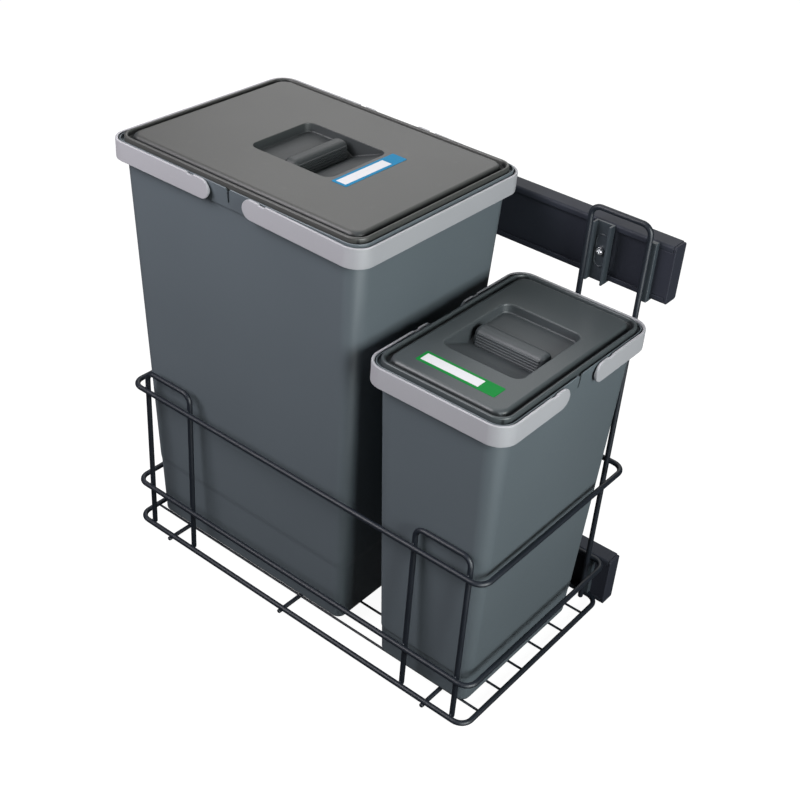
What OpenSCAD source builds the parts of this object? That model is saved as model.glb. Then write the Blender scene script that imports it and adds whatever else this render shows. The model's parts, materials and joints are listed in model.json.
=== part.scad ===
// Pull-out bin frame for a kitchen cabinet: a wire basket on two side runners, with two lidded bins.
// X points to the cabinet wall the runners are screwed to, -Y is the way the frame pulls out, Z is up.
// The origin is the centre of the four wall screw holes, on the wall plane.

/* [Basket wires] */
// width of the wire rings between wire centres
ring_w = 234; // [230:1:250]
// length of the wire rings between wire centres
ring_l = 444; // [436:1:470]
// corner radius of the rings at the wire centre
ring_r = 12.5; // [10:0.5:18]
// diameter of the ring, hoop and bail wire
wire_d = 5.4; // [4.8:0.1:5.6]
// height of the middle ring above the floor ring
mid_ring_z = 50; // [48:1:56]
// height of the top ring above the floor ring
top_ring_z = 174; // [150:1:185]
// distance of each hoop and bail from the end of the rings
hoop_in = 48; // [42:1:57]
// width of the hoops and bails between wire centres
hoop_w = 61; // [56:1:66]
// bend radius of the hoops and bails at the wire centre
hoop_r = 9.5; // [8:0.5:12]
// height of the low hoops on the open side
hoop_top_z = 193; // [190:1:205]
// height of the tall bail at the front
bail_front_z = 430; // [424:1:440]
// height of the tall bail at the rear, under the big bin's handle
bail_rear_z = 399; // [390:1:400]
// how far the legs reach below the floor ring's wire centre
leg_end = 2.8; // [2.5:0.1:3.5]
// diameter of the thin floor wires
floor_wire_d = 2.5; // [2:0.1:3]
// distance between the floor wires
floor_pitch = 36; // [30:1:38]
// diameter of the cross wires under the floor
cross_wire_d = 4.5; // [4:0.1:5]
// distance of the end cross wires from the end of the rings
cross_in = 48; // [37:1:57]
// offset of the middle cross wire towards the rear
cross_mid_y = 11.5; // [0:0.5:20]
// how far the cross wires stand past the ring's wire centre
cross_out = 3; // [2.5:0.1:4]

/* [Rails] */
// how much longer the carrier rails are than the rings
rail_over = 6; // [0:1:16]
// height of the carrier rail profile
carrier_h = 57; // [54:1:60]
// depth of the carrier rail's front recess
recess_in = 5.5; // [5.3:0.1:6]
// sheet thickness of the carrier rail
carrier_t = 1.5; // [1.2:0.1:1.8]
// height of the carrier rail's front lips
lip_h = 6; // [5.8:0.1:7]
// outer edge radius of the carrier rail
carrier_edge_r = 2.5; // [2:0.1:3]
// distance between the two rails' centre lines
rail_spacing = 363; // [357:1:368]
// how far the lower rail lies below the middle between the floor ring and the middle ring
rail_drop = 2; // [0:0.5:4]
// how far the rails' middle lies in front of the basket's middle
rail_front = 2; // [0:1:12]
// thickness of the end cap's face
cap_t = 3; // [2.5:0.1:3.5]
// length of the end cap's plug in the rail
plug_l = 16; // [10:0.5:18]

/* [Slides] */
// height of the wall member of each slide
slide_h = 45.6; // [45:0.1:46]
// thickness of a closed slide from the wall to the carrier rail's web
slide_t = 12.7; // [12.6:0.1:13.4]
// sheet thickness of the slide members
sheet_t = 1.2; // [1:0.05:1.2]
// diameter of the bearing balls
ball_d = 3.2; // [3.1:0.05:3.3]
// distance between bearing balls in a row
ball_pitch = 36; // [30:1:38]
// how far each ball cage stays inside the slide when it is pulled out
cage_in = 1.5; // [1:0.1:5]
// sheet thickness of the ball cages
cage_t = 0.6; // [0.5:0.05:0.7]
// radius of the wall screw holes
wall_hole_r = 2.6; // [2.2:0.1:3]
// distance of the wall screw holes from the rail's ends
wall_hole_in = 65; // [55:1:85]
// how much less than its length the frame pulls out
pull_less = 50; // [50:1:60]
// radius of the screwdriver holes in the middle members
access_r = 6; // [5:0.5:7]

/* [Clamp brackets] */
// sheet thickness of the clamp brackets
bracket_t = 2; // [1.6:0.1:2.2]
// width of the clamp brackets along the rail
bracket_w = 19; // [17:0.5:22]
// depth of the bracket flanges towards the basket
flange_d = 6.5; // [5:0.5:7]
// width of the plain clips behind the other legs
clip_w = 9; // [8:0.5:11]
// reach of the hooks under the upper rail
hook_d = 5; // [4:0.5:7]
// radius of the clamp screw shank
screw_r = 2; // [1.8:0.1:2.4]
// radius of the clamp screw head
screw_head_r = 3.6; // [3.4:0.1:4.8]
// height of the clamp screw head
screw_head_h = 2.8; // [2.4:0.1:3.2]
// length of the slot for the clamp screw
slot_l = 7; // [6:0.5:7]
// thickness of the clamp plates inside the rails
clamp_plate_t = 2.5; // [2:0.1:3.5]
// width of the clamp plates along the rail
clamp_plate_w = 15; // [13:0.5:18]

/* [Big bin] */
// how much narrower than the rings the big bin is over its handles
big_side = 1.2; // [0:0.2:6]
// how much longer than the rings both bins are over their handles
bins_over = 17.1; // [10:0.1:18.5]
// height of the big bin's handle top above the floor ring
big_top_z = 439.6; // [438:0.2:446]
// how much narrower the big bin is at its floor
big_taper_w = 53.8; // [50:0.2:62]
// how much shorter the big bin is at its floor
big_taper_l = 45; // [42:0.5:50]
// height of the big bin's handles
big_handle_h = 19; // [18:0.5:20]
// height of the step in the big bin's wall
big_step_z = 74; // [60:1:90]
// how far the big bin's handle reaches over the rear bail
big_over = 4.35; // [3.5:0.05:5]
// how many degrees the big bin's front handle hangs down
big_droop = 1.5; // [0:0.1:2]

/* [Small bin] */
// how much narrower than the rings the small bin is over its handles
small_side = 6; // [5:0.2:12]
// length of the small bin over its handles
small_l = 147.6; // [144:0.2:149]
// height of the small bin's handle top above the floor ring
small_top_z = 341.7; // [330:0.1:344]
// how much narrower the small bin is at its floor
small_taper_w = 50; // [48:0.5:58]
// how much shorter the small bin is at its floor
small_taper_l = 40.6; // [38:0.2:46]
// height of the small bin's handles
small_handle_h = 20; // [19:0.5:21]
// height of the step in the small bin's wall
small_step_z = 35; // [25:1:45]

/* [Bin walls and handles] */
// wall thickness of the bins
bin_t = 2.2; // [1.8:0.1:2.4]
// depth of the wall step
step_in = 0.8; // [0.4:0.1:1]
// corner radius of the bins at the floor
bin_floor_r = 10; // [9:0.5:14]
// corner radius of the bins at the top
bin_top_r = 18; // [16:0.5:20]
// outer corner radius of the handles
handle_r = 19; // [18:0.5:24]
// thickness of the handle bands
handle_t = 2.6; // [2.2:0.1:2.8]
// distance of the handle pivots from the middle of the bin
pivot_off = 43; // [40:1:46]
// distance of the handle ends from the middle of the bin
handle_end = 20.5; // [18:0.5:24]
// radius of the handle pegs
peg_r = 3; // [2.6:0.1:3.4]
// radius of the bosses round the peg bores
boss_r = 7; // [6:0.5:8]
// height of the bin's rim band
rim_h = 8; // [7:0.5:9]
// width of the slit in the middle of the rim
rim_slit = 2; // [1.5:0.1:3]

/* [Lids] */
// thickness of the lid's edge
lid_edge_h = 3; // [2.6:0.1:3.4]
// width of the lid's raised edge
lid_edge_w = 5; // [4.5:0.1:5.4]
// width of the groove inside the lid's edge
moat_w = 6.4; // [6:0.2:10]
// depth of the groove inside the lid's edge
moat_d = 4; // [3:0.5:5]
// sheet thickness of the lids
lid_t = 2; // [1.6:0.1:2.2]
// height of the lid panel above the lid's edge
panel_up = 0.6; // [0:0.1:1]
// size of the big lid's grip recess along its bar
big_recess_w = 80; // [72:1:84]
// size of the big lid's grip recess across its bar
big_recess_l = 88; // [80:1:92]
// size of the small lid's grip recess along its bar
small_recess_l = 80; // [72:1:82]
// size of the small lid's grip recess across its bar
small_recess_w = 90; // [80:1:94]
// depth of the flat half of the grip recesses
recess_d = 9; // [7:0.5:11]
// depth at the foot of the finger ramp
ramp_d = 18; // [15:0.5:20]
// depth of the finger ramp at its outer edge
ramp_edge_d = 1.5; // [1:0.1:2.5]
// corner radius of the grip recesses
recess_r = 9; // [6:0.5:12]
// width of the grip bars
grip_w = 18; // [15:0.5:20]
// how far the grip bars lie below the lid panel
grip_down = 1; // [0.5:0.1:2]
// length of the big lid's sticker
big_label_l = 84; // [76:1:90]
// length of the small lid's sticker
small_label_l = 81; // [74:1:84]
// width of the stickers
label_w = 17; // [15:0.5:19]
// thickness of the stickers
label_t = 0.3; // [0.2:0.05:0.4]

/* [Clearances] */
// gap left at the welded wire crossings
weld_gap = 0.05; // [0.03:0.01:0.1]
// gap between the rings and the carrier rails
carrier_gap = 0.25; // [0.2:0.05:0.5]
// gap between the carrier rails and the cabinet wall
wall_gap = 1; // [0.8:0.1:1.5]
// gap between the slide members and the end caps, both ends together
slide_end = 1; // [0.6:0.1:2]
// gap between clamped sheet parts
clamp_gap = 0.05; // [0.03:0.01:0.1]
// gap on each side of the bearing balls
ball_gap = 0.1; // [0.08:0.01:0.12]
// gap between each ball and its hole in the cage
cage_gap = 0.15; // [0.1:0.01:0.2]
// gap round the end cap plugs
plug_gap = 0.1; // [0.05:0.01:0.2]
// radial gap of the clamp screws in their holes
hole_gap = 0.05; // [0.03:0.01:0.1]
// radial running gap of the handle pegs
peg_gap = 0.05; // [0.03:0.01:0.08]
// gap between the bins and the floor wires
floor_gap = 0.3; // [0.2:0.05:0.5]
// gap between the small bin's handle and the bail
bail_gap = 1.4; // [1.2:0.1:3]
// gap between the big bin's wall and the top ring
rear_gap = 0.8; // [0.6:0.1:2]
// gap between the two bins' handles
bins_gap = 9.5; // [9:0.5:13]
// gap between the handle band and the bin's rim
band_gap = 1.2; // [1:0.1:1.4]
// gap between the lid's edge and the handle band
lid_edge_gap = 3.4; // [3:0.1:3.6]
// gap between the lid and the bin
lid_gap = 0.4; // [0.3:0.05:0.6]

/* [Hidden] */
$fn = 64;
wire_r = wire_d / 2;
ring_x = ring_w / 2;
ring_y = ring_l / 2;
hoop_y = ring_y - hoop_in;
cross_y = ring_y - cross_in;
rail_l = ring_l + rail_over;
pull_l = rail_l - pull_less;
wall_hole_span = rail_l - 2 * wall_hole_in;
// basket frame: origin at the middle of the floor ring
wall_x = ring_x + wire_r + carrier_gap + recess_in + carrier_t + slide_t;
lower_rail_z = mid_ring_z / 2 - rail_drop;
base = [-wall_x, rail_front, -(lower_rail_z + rail_spacing / 2)];
upper_z = rail_spacing / 2;
lower_z = -rail_spacing / 2;
leg_x = ring_x - wire_d - weld_gap;
cross_z = -(wire_r + weld_gap + cross_wire_d / 2);
floor_z = cross_z + cross_wire_d / 2 + weld_gap + floor_wire_d / 2;
floor_top = floor_z + floor_wire_d / 2;
bin_floor_z = floor_top + floor_gap;
// slide section, measured from the wall plane and the rail's centre line
row_h = ball_d + 2 * ball_gap;
wall_half = slide_h / 2;
outer_row_z = wall_half - sheet_t - row_h / 2;
mid_half = wall_half - sheet_t - row_h;
inner_row_z = mid_half - sheet_t - row_h / 2;
inner_half = mid_half - sheet_t - row_h;
wall_lip_x = -0.827 * slide_t;
mid_web_x = -0.315 * slide_t;
mid_lip_x = -0.866 * slide_t;
outer_ball_x = -0.512 * slide_t;
inner_ball_x = -0.654 * slide_t;
inner_tip_x = -0.52 * slide_t;
outer_cage_x = -0.181 * slide_t;
inner_cage_x = -0.441 * slide_t;
outer_cage_d = 0.535 * slide_t;
inner_cage_d = 0.394 * slide_t;
web_back_x = -slide_t;
web_front_x = -slide_t - carrier_t;
carrier_front_x = web_front_x - recess_in;
carrier_half = carrier_h / 2;
clamp_y = hoop_y - hoop_w / 2 + wire_r + weld_gap + bracket_w / 2;
carrier_l = rail_l - 2 * cap_t;
slide_l = carrier_l - slide_end;
cage_l = slide_l - pull_l / 2 - 2 * cage_in;
balls_side = floor((cage_l / 2 - 6) / ball_pitch);
// bins in the basket frame
big_w = ring_w - big_side;
big_l = ring_l + bins_over - bins_gap - small_l;
big_floor_w = big_w - big_taper_w;
big_floor_l = big_l - big_taper_l;
small_w = ring_w - small_side;
small_floor_w = small_w - small_taper_w;
small_floor_l = small_l - small_taper_l;
rim_inset = handle_t + band_gap;
body_inset = rim_inset + 3.6;
lid_inset = handle_t + lid_edge_gap;
big_x = leg_x - wire_r + big_over - big_w / 2;
big_rise = (top_ring_z + wire_r) / (big_top_z - rim_h);
big_half_top = big_l / 2 - body_inset;
big_half_ring = big_floor_l / 2 + (big_half_top - big_floor_l / 2) * big_rise;
big_y = ring_y - wire_r - rear_gap - big_half_ring;
small_x = leg_x - wire_r - bail_gap - small_w / 2;
small_y = big_y - big_l / 2 - bins_gap - small_l / 2;
big_pivot_z = big_top_z - big_handle_h / 2;
small_pivot_z = small_top_z - small_handle_h / 2;
// heights above the handle top
rim_top = -0.6;
lid_low = rim_top + lid_gap;
lid_top = lid_low + lid_edge_h;
panel_top = lid_top + panel_up;

// extrudes an X-Z outline along Y, centred
module along_y(len) {
  rotate([90, 0, 0])
    linear_extrude(height = len, center = true)
      children();
}

// a plain round bar from a point along X, Y or Z
module bar_x(r, len) {
  rotate([0, 90, 0])
    cylinder(r = r, h = len);
}

module bar_y(r, len) {
  rotate([-90, 0, 0])
    cylinder(r = r, h = len);
}

// rectangle with round corners, as half sizes
module round_rect(hx, hy, r) {
  square([2 * hx, 2 * (hy - r)], center = true);
  square([2 * (hx - r), 2 * hy], center = true);
  for (sx = [-1, 1])
    for (sy = [-1, 1])
      translate([sx * (hx - r), sy * (hy - r)])
        circle(r = r);
}

// thin slab used as the end of a tapered shell
module slab(hx, hy, r, z) {
  translate([0, 0, z])
    linear_extrude(height = 0.5)
      union() {
        square([2 * hx, 2 * (hy - r)], center = true);
        square([2 * (hx - r), 2 * hy], center = true);
        for (sx = [-1, 1])
          for (sy = [-1, 1])
            translate([sx * (hx - r), sy * (hy - r)])
              circle(r = r, $fn = 32);
      }
}

module slide_section_wall() {
  translate([-sheet_t, -wall_half])
    square([sheet_t, slide_h]);
  for (s = [-1, 1]) {
    translate([wall_lip_x, s > 0 ? wall_half - sheet_t : -wall_half])
      square([-wall_lip_x, sheet_t]);
    translate([wall_lip_x, s > 0 ? wall_half - 2 * sheet_t : -wall_half + sheet_t])
      square([0.8 * sheet_t, sheet_t]);
  }
}

module slide_section_middle() {
  translate([mid_web_x - sheet_t, -mid_half])
    square([sheet_t, 2 * mid_half]);
  for (s = [-1, 1])
    translate([mid_lip_x, s > 0 ? mid_half - sheet_t : -mid_half])
      square([mid_web_x - mid_lip_x, sheet_t]);
}

module slide_section_inner() {
  translate([-slide_t, -inner_half])
    square([sheet_t, 2 * inner_half]);
  for (s = [-1, 1])
    translate([-slide_t, s > 0 ? inner_half - sheet_t : -inner_half])
      square([slide_t + inner_tip_x, sheet_t]);
}

module wall_member(z) {
  color([0.62, 0.63, 0.65])
    translate([0, 0, z])
      difference() {
        along_y(slide_l)
          slide_section_wall();
        for (s = [-1, 1])
          translate([-sheet_t - 1, s * wall_hole_span / 2, 0])
            bar_x(wall_hole_r, sheet_t + 2);
      }
}

// the hole comes to the front wall screw when the frame is pulled out
module middle_member(z) {
  color([0.62, 0.63, 0.65])
    translate([0, 0, z])
      difference() {
        along_y(slide_l)
          slide_section_middle();
        translate([mid_web_x - sheet_t - 1, pull_l / 2 - wall_hole_span / 2, 0])
          bar_x(access_r, sheet_t + 2);
      }
}

module inner_member(z) {
  color([0.62, 0.63, 0.65])
    translate([0, 0, z])
      along_y(slide_l)
        slide_section_inner();
}

module ball_row(x, row_z) {
  for (s = [-1, 1])
    for (i = [-balls_side : balls_side])
      translate([x, i * ball_pitch, s * row_z])
        children();
}

module cage(z, web_x, ball_x, row_z, reach) {
  color([0.75, 0.7, 0.55])
    translate([0, 0, z])
      difference() {
        union() {
          along_y(cage_l)
            translate([web_x - cage_t, -row_z - cage_t / 2])
              square([cage_t, 2 * row_z + cage_t]);
          for (s = [-1, 1])
            along_y(cage_l)
              translate([web_x - reach, s * row_z - cage_t / 2])
                square([reach, cage_t]);
        }
        ball_row(ball_x, row_z)
          cylinder(r = ball_d / 2 + cage_gap, h = 4, center = true);
      }
}

module balls(z, ball_x, row_z) {
  color([0.8, 0.8, 0.82])
    translate([0, 0, z])
      ball_row(ball_x, row_z)
        sphere(r = ball_d / 2);
}

module carrier_outline(half, front, back, r) {
  translate([(front + back) / 2, 0])
    round_rect((back - front) / 2, half, r);
}

// rail profile: the recess towards the basket, the web, and two flanges over the slide
module carrier_profile() {
  difference() {
    union() {
      carrier_outline(carrier_half, carrier_front_x, -wall_gap, carrier_edge_r);
      translate([web_back_x, -carrier_half])
        square([slide_t - wall_gap, carrier_h]);
    }
    carrier_outline(carrier_half - carrier_t, carrier_front_x + carrier_t, web_front_x,
      carrier_edge_r - carrier_t + 0.2);
    translate([carrier_front_x - 1, -carrier_half + lip_h])
      square([carrier_t + 2, carrier_h - 2 * lip_h]);
    translate([web_back_x, -carrier_half + carrier_t])
      square([slide_t + 1, carrier_h - 2 * carrier_t]);
  }
}

module carrier(z) {
  color([0.1, 0.11, 0.13])
    translate([0, 0, z])
      along_y(carrier_l)
        carrier_profile();
}

// end cap at the front (side -1) or rear (side 1); the rear one leaves the slide's way open
module end_cap(z, side) {
  color([0.08, 0.09, 0.1])
    translate([0, 0, z]) {
      translate([0, side * (rail_l - cap_t) / 2, 0])
        along_y(cap_t)
          carrier_outline(carrier_half, carrier_front_x, side < 0 ? -wall_gap : web_back_x - 0.3,
            carrier_edge_r);
      translate([0, side * (carrier_l - plug_l) / 2, 0])
        along_y(plug_l)
          union() {
            carrier_outline(carrier_half - carrier_t - plug_gap, carrier_front_x + carrier_t + plug_gap,
              web_front_x - plug_gap, carrier_edge_r - carrier_t + 0.2);
            translate([carrier_front_x, -carrier_half + lip_h + plug_gap])
              square([carrier_t + 2, carrier_h - 2 * lip_h - 2 * plug_gap]);
          }
    }
}

// clamp bracket beside a bail leg; low, high and flange_high are heights from the rail's centre line
module bracket(z, side, low, high, flange_high, hook) {
  leg_face = hoop_y - hoop_w / 2 + wire_r + weld_gap;
  web_x = carrier_front_x - clamp_gap - bracket_t;
  flange_h = flange_high - low;
  start_y = side > 0 ? leg_face : -leg_face - bracket_w;
  color([0.1, 0.11, 0.13])
    translate([0, rail_front, z])
      difference() {
        union() {
          translate([web_x, start_y, low])
            cube([bracket_t, bracket_w, high - low]);
          for (y = [start_y, start_y + bracket_w - bracket_t])
            translate([web_x - flange_d, y, low])
              cube([flange_d + 0.01, bracket_t, flange_h]);
          if (hook)
            translate([web_x, start_y, low])
              cube([bracket_t + hook_d, bracket_w, bracket_t]);
        }
        translate([web_x - 1, side * clamp_y, 0]) {
          translate([0, 0, -slot_l / 2 + screw_r])
            bar_x(screw_r + hole_gap, bracket_t + 2);
          translate([0, 0, slot_l / 2 - screw_r])
            bar_x(screw_r + hole_gap, bracket_t + 2);
          translate([0, -screw_r - hole_gap, -slot_l / 2 + screw_r])
            cube([bracket_t + 2, 2 * (screw_r + hole_gap), slot_l - 2 * screw_r]);
        }
      }
}

// plain clip behind the other leg of a bail
module clip(z, side, low, high, hook) {
  back_x = carrier_front_x - clamp_gap;
  face_x = leg_x + wire_r + weld_gap - wall_x;
  mid = side * (hoop_y + hoop_w / 2 + 1.5);
  color([0.1, 0.11, 0.13])
    translate([0, rail_front + mid - clip_w / 2, z]) {
      translate([face_x, 0, low])
        cube([back_x - face_x, clip_w, high - low]);
      if (hook)
        translate([back_x - 0.5, 0, low])
          cube([hook_d + 0.5, clip_w, bracket_t]);
    }
}

module clamp_places() {
  for (z = [lower_z, upper_z])
    for (side = [-1, 1])
      translate([carrier_front_x, rail_front + side * clamp_y, z])
        children();
}

module clamp_plates() {
  color([0.55, 0.56, 0.58])
    clamp_places()
      difference() {
        translate([carrier_t + clamp_gap, -clamp_plate_w / 2, -carrier_half + carrier_t + 2])
          cube([clamp_plate_t, clamp_plate_w, carrier_h - 2 * carrier_t - 4]);
        translate([carrier_t - 1, 0, 0])
          bar_x(screw_r + hole_gap, clamp_plate_t + 3);
      }
}

module clamp_screws() {
  color([0.82, 0.83, 0.85])
    clamp_places() {
      translate([-clamp_gap - bracket_t, 0, 0])
        bar_x(screw_r, bracket_t + 2 * clamp_gap + carrier_t + clamp_plate_t + 1);
      translate([-clamp_gap - bracket_t - screw_head_h, 0, 0])
        difference() {
          bar_x(screw_head_r, screw_head_h);
          translate([-1, -0.6, -screw_head_r * 0.6])
            cube([2.4, 1.2, screw_head_r * 1.2]);
          translate([-1, -screw_head_r * 0.6, -0.6])
            cube([2.4, screw_head_r * 1.2, 1.2]);
        }
    }
}

// quarter bend in the X-Y plane about the origin, starting on +X
module quarter_bend(r) {
  rotate_extrude(angle = 90)
    translate([r, 0])
      circle(r = wire_r, $fn = 32);
}

module ring(z) {
  color([0.1, 0.11, 0.14])
    translate(base)
      translate([0, 0, z]) {
        for (s = [-1, 1]) {
          translate([s * ring_x, -ring_y + ring_r, 0])
            bar_y(wire_r, ring_l - 2 * ring_r);
          translate([-ring_x + ring_r, s * ring_y, 0])
            bar_x(wire_r, ring_w - 2 * ring_r);
        }
        translate([ring_x - ring_r, ring_y - ring_r, 0])
          quarter_bend(ring_r);
        translate([-ring_x + ring_r, ring_y - ring_r, 0])
          rotate([0, 0, 90])
            quarter_bend(ring_r);
        translate([-ring_x + ring_r, -ring_y + ring_r, 0])
          rotate([0, 0, 180])
            quarter_bend(ring_r);
        translate([ring_x - ring_r, -ring_y + ring_r, 0])
          rotate([0, 0, 270])
            quarter_bend(ring_r);
      }
}

// upright wire arch in a plane of constant X
module arch(x, side, top_z) {
  color([0.1, 0.11, 0.14])
    translate(base)
      translate([x, side * hoop_y, 0]) {
        for (s = [-1, 1])
          translate([0, s * hoop_w / 2, -leg_end])
            cylinder(r = wire_r, h = top_z - hoop_r + leg_end);
        translate([0, -hoop_w / 2 + hoop_r, top_z])
          bar_y(wire_r, hoop_w - 2 * hoop_r);
        translate([0, hoop_w / 2 - hoop_r, top_z - hoop_r])
          rotate([90, 0, 90])
            quarter_bend(hoop_r);
        translate([0, -hoop_w / 2 + hoop_r, top_z - hoop_r])
          rotate([90, 0, -90])
            quarter_bend(hoop_r);
      }
}

module floor_wires() {
  wire_l = ring_l - wire_d - 2 * weld_gap;
  color([0.1, 0.11, 0.14])
    translate(base)
      for (i = [-2.5 : 1 : 2.5])
        translate([i * floor_pitch, -wire_l / 2, floor_z])
          bar_y(floor_wire_d / 2, wire_l);
}

module cross_wires() {
  color([0.1, 0.11, 0.14])
    translate(base)
      for (y = [-cross_y, cross_mid_y, cross_y])
        translate([-ring_x - cross_out, y, cross_z])
          bar_x(cross_wire_d / 2, ring_w + cross_out + 1);
}

// pegs and bores of the handles: x_axis true when the handles hinge about X
module pivots(x_axis, hx, hy, z, start, len, r) {
  for (s = [-1, 1])
    for (t = [-1, 1])
      if (x_axis)
        translate([s > 0 ? hx + start : -hx - start - len, t * pivot_off, z])
          bar_x(r, len);
      else
        translate([t * pivot_off, s > 0 ? hy + start : -hy - start - len, z])
          bar_y(r, len);
}

// bin shell with its rim, at the bin's own centre, heights from the floor ring
module bin_shell(hx, hy, fx, fy, top_z, pivot_z, step_z, x_axis) {
  body_top = top_z - 0.6 - rim_h;
  tx = hx - body_inset;
  ty = hy - body_inset;
  k = (step_z - bin_floor_z) / (body_top - bin_floor_z);
  sx = fx + (tx - fx) * k;
  sy = fy + (ty - fy) * k;
  difference() {
    union() {
      hull() {
        slab(fx - step_in, fy - step_in, bin_floor_r, bin_floor_z);
        slab(sx - step_in, sy - step_in, bin_floor_r, step_z - 0.5);
      }
      hull() {
        slab(sx, sy, bin_floor_r, step_z - 0.5);
        slab(tx, ty, bin_top_r, body_top);
      }
      translate([0, 0, body_top])
        linear_extrude(height = rim_h)
          round_rect(hx - rim_inset, hy - rim_inset, handle_r - rim_inset);
      pivots(x_axis, hx, hy, pivot_z, -body_inset - 1.4, body_inset + 1.4 - handle_t - 0.7, boss_r);
    }
    hull() {
      slab(fx - step_in - bin_t, fy - step_in - bin_t, bin_floor_r - bin_t, bin_floor_z + bin_t);
      slab(tx - bin_t, ty - bin_t, bin_top_r - bin_t, body_top);
    }
    translate([0, 0, body_top + 0.25])
      linear_extrude(height = rim_h + 1)
        round_rect(tx - bin_t, ty - bin_t, bin_top_r - bin_t);
    pivots(x_axis, hx, hy, pivot_z, -body_inset + 0.4, body_inset, peg_r + peg_gap);
    for (s = [-1, 1])
      if (x_axis)
        translate([s * (hx - rim_inset), 0, body_top + rim_h / 2])
          cube([3, rim_slit, rim_h + 2], center = true);
      else
        translate([0, s * (hy - rim_inset), body_top + rim_h / 2])
          cube([rim_slit, 3, rim_h + 2], center = true);
  }
}

// half handle on the +Y side, hinged about X, at the bin's own centre
module half_handle(hx, hy, h, pivot_z) {
  low = pivot_z - h / 2;
  translate([0, 0, low])
    linear_extrude(height = h)
      difference() {
        round_rect(hx, hy, handle_r);
        round_rect(hx - handle_t, hy - handle_t, handle_r - handle_t);
        translate([-hx - 1, -hy - 1])
          square([2 * hx + 2, hy + 1 + handle_end + h / 2]);
      }
  for (s = [-1, 1]) {
    translate([s > 0 ? hx - handle_t : -hx, handle_end + h / 2, pivot_z])
      bar_x(h / 2, handle_t);
    translate([s > 0 ? hx - body_inset + 0.8 : -hx + handle_t - 0.01, pivot_off, pivot_z])
      bar_x(peg_r, body_inset - 0.8 - handle_t + 0.01);
  }
}

// grip recess seen along its bar: a finger ramp on the -X side, a flat floor on the other
module recess_outline(half, drop) {
  polygon([
    [-half, 1],
    [-half, -ramp_edge_d - drop],
    [-grip_w / 2 - 1, -ramp_d - drop],
    [grip_w / 2 + drop, -ramp_d - drop],
    [grip_w / 2 + drop, -recess_d - drop],
    [half, -recess_d - drop],
    [half, 1]
  ]);
}

// the two hollows beside the grip bar
module finger_hollows(half) {
  polygon([
    [-half, 2],
    [-half, -ramp_edge_d],
    [-grip_w / 2 - 1, -ramp_d],
    [-grip_w / 2, -ramp_d],
    [-grip_w / 2, -grip_down],
    [grip_w / 2, -grip_down],
    [grip_w / 2, -recess_d],
    [half, -recess_d],
    [half, 2]
  ]);
}

// the pan under the lid panel that holds the recess and its grip bar, bar along Y
module grip_pan(half, bar_half) {
  difference() {
    intersection() {
      along_y(2 * bar_half + 2 * lid_t)
        recess_outline(half + lid_t, lid_t);
      translate([0, 0, -40])
        linear_extrude(height = 40)
          round_rect(half + lid_t, bar_half + lid_t, recess_r + lid_t);
    }
    intersection() {
      along_y(2 * bar_half)
        finger_hollows(half);
      translate([0, 0, -40])
        linear_extrude(height = 42)
          round_rect(half, bar_half, recess_r);
    }
  }
}

// lid with groove, panel and grip recess; bar_on_x true when the grip bar runs along X
module lid(hx, hy, top_z, rx, ry, bar_on_x) {
  ox = hx - lid_inset;
  oy = hy - lid_inset;
  or = handle_r - lid_inset + 2;
  kx = hx - body_inset - bin_t - lid_gap;
  ky = hy - body_inset - bin_t - lid_gap;
  kr = bin_top_r - bin_t - lid_gap;
  low = top_z + lid_low;
  high = top_z + lid_top;
  flat = top_z + panel_top;
  mx = ox - lid_edge_w - moat_w;
  my = oy - lid_edge_w - moat_w;
  mr = 10;
  groove = high - moat_d;
  translate([0, 0, low])
    linear_extrude(height = lid_edge_h)
      difference() {
        round_rect(ox, oy, or);
        round_rect(kx - lid_t, ky - lid_t, kr - lid_t);
      }
  translate([0, 0, groove - lid_t - 2])
    linear_extrude(height = low - groove + lid_t + 2.5)
      difference() {
        round_rect(kx, ky, kr);
        round_rect(kx - lid_t, ky - lid_t, kr - lid_t);
      }
  translate([0, 0, groove - lid_t])
    linear_extrude(height = lid_t)
      difference() {
        round_rect(kx - 0.5, ky - 0.5, kr - 0.5);
        round_rect(mx - lid_t, my - lid_t, mr - lid_t);
      }
  translate([0, 0, groove - lid_t])
    linear_extrude(height = flat - groove + lid_t)
      difference() {
        round_rect(mx, my, mr);
        round_rect(mx - lid_t, my - lid_t, mr - lid_t);
      }
  translate([0, 0, flat - lid_t])
    linear_extrude(height = lid_t)
      difference() {
        round_rect(mx - 0.5, my - 0.5, mr - 0.5);
        round_rect(rx, ry, recess_r);
      }
  translate([0, 0, flat])
    if (bar_on_x)
      rotate([0, 0, 90])
        grip_pan(ry, rx);
    else
      grip_pan(rx, ry);
}

module at_big() {
  translate(base + [big_x, big_y, 0])
    children();
}

module at_small() {
  translate(base + [small_x, small_y, 0])
    children();
}

module upper_wall_member() {
  wall_member(upper_z);
}

module lower_wall_member() {
  wall_member(lower_z);
}

module upper_outer_cage() {
  cage(upper_z, outer_cage_x, outer_ball_x, outer_row_z, outer_cage_d);
}

module lower_outer_cage() {
  cage(lower_z, outer_cage_x, outer_ball_x, outer_row_z, outer_cage_d);
}

module upper_outer_balls() {
  balls(upper_z, outer_ball_x, outer_row_z);
}

module lower_outer_balls() {
  balls(lower_z, outer_ball_x, outer_row_z);
}

module upper_middle_member() {
  middle_member(upper_z);
}

module lower_middle_member() {
  middle_member(lower_z);
}

module upper_inner_cage() {
  cage(upper_z, inner_cage_x, inner_ball_x, inner_row_z, inner_cage_d);
}

module lower_inner_cage() {
  cage(lower_z, inner_cage_x, inner_ball_x, inner_row_z, inner_cage_d);
}

module upper_inner_balls() {
  balls(upper_z, inner_ball_x, inner_row_z);
}

module lower_inner_balls() {
  balls(lower_z, inner_ball_x, inner_row_z);
}

module upper_inner_member() {
  inner_member(upper_z);
}

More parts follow.
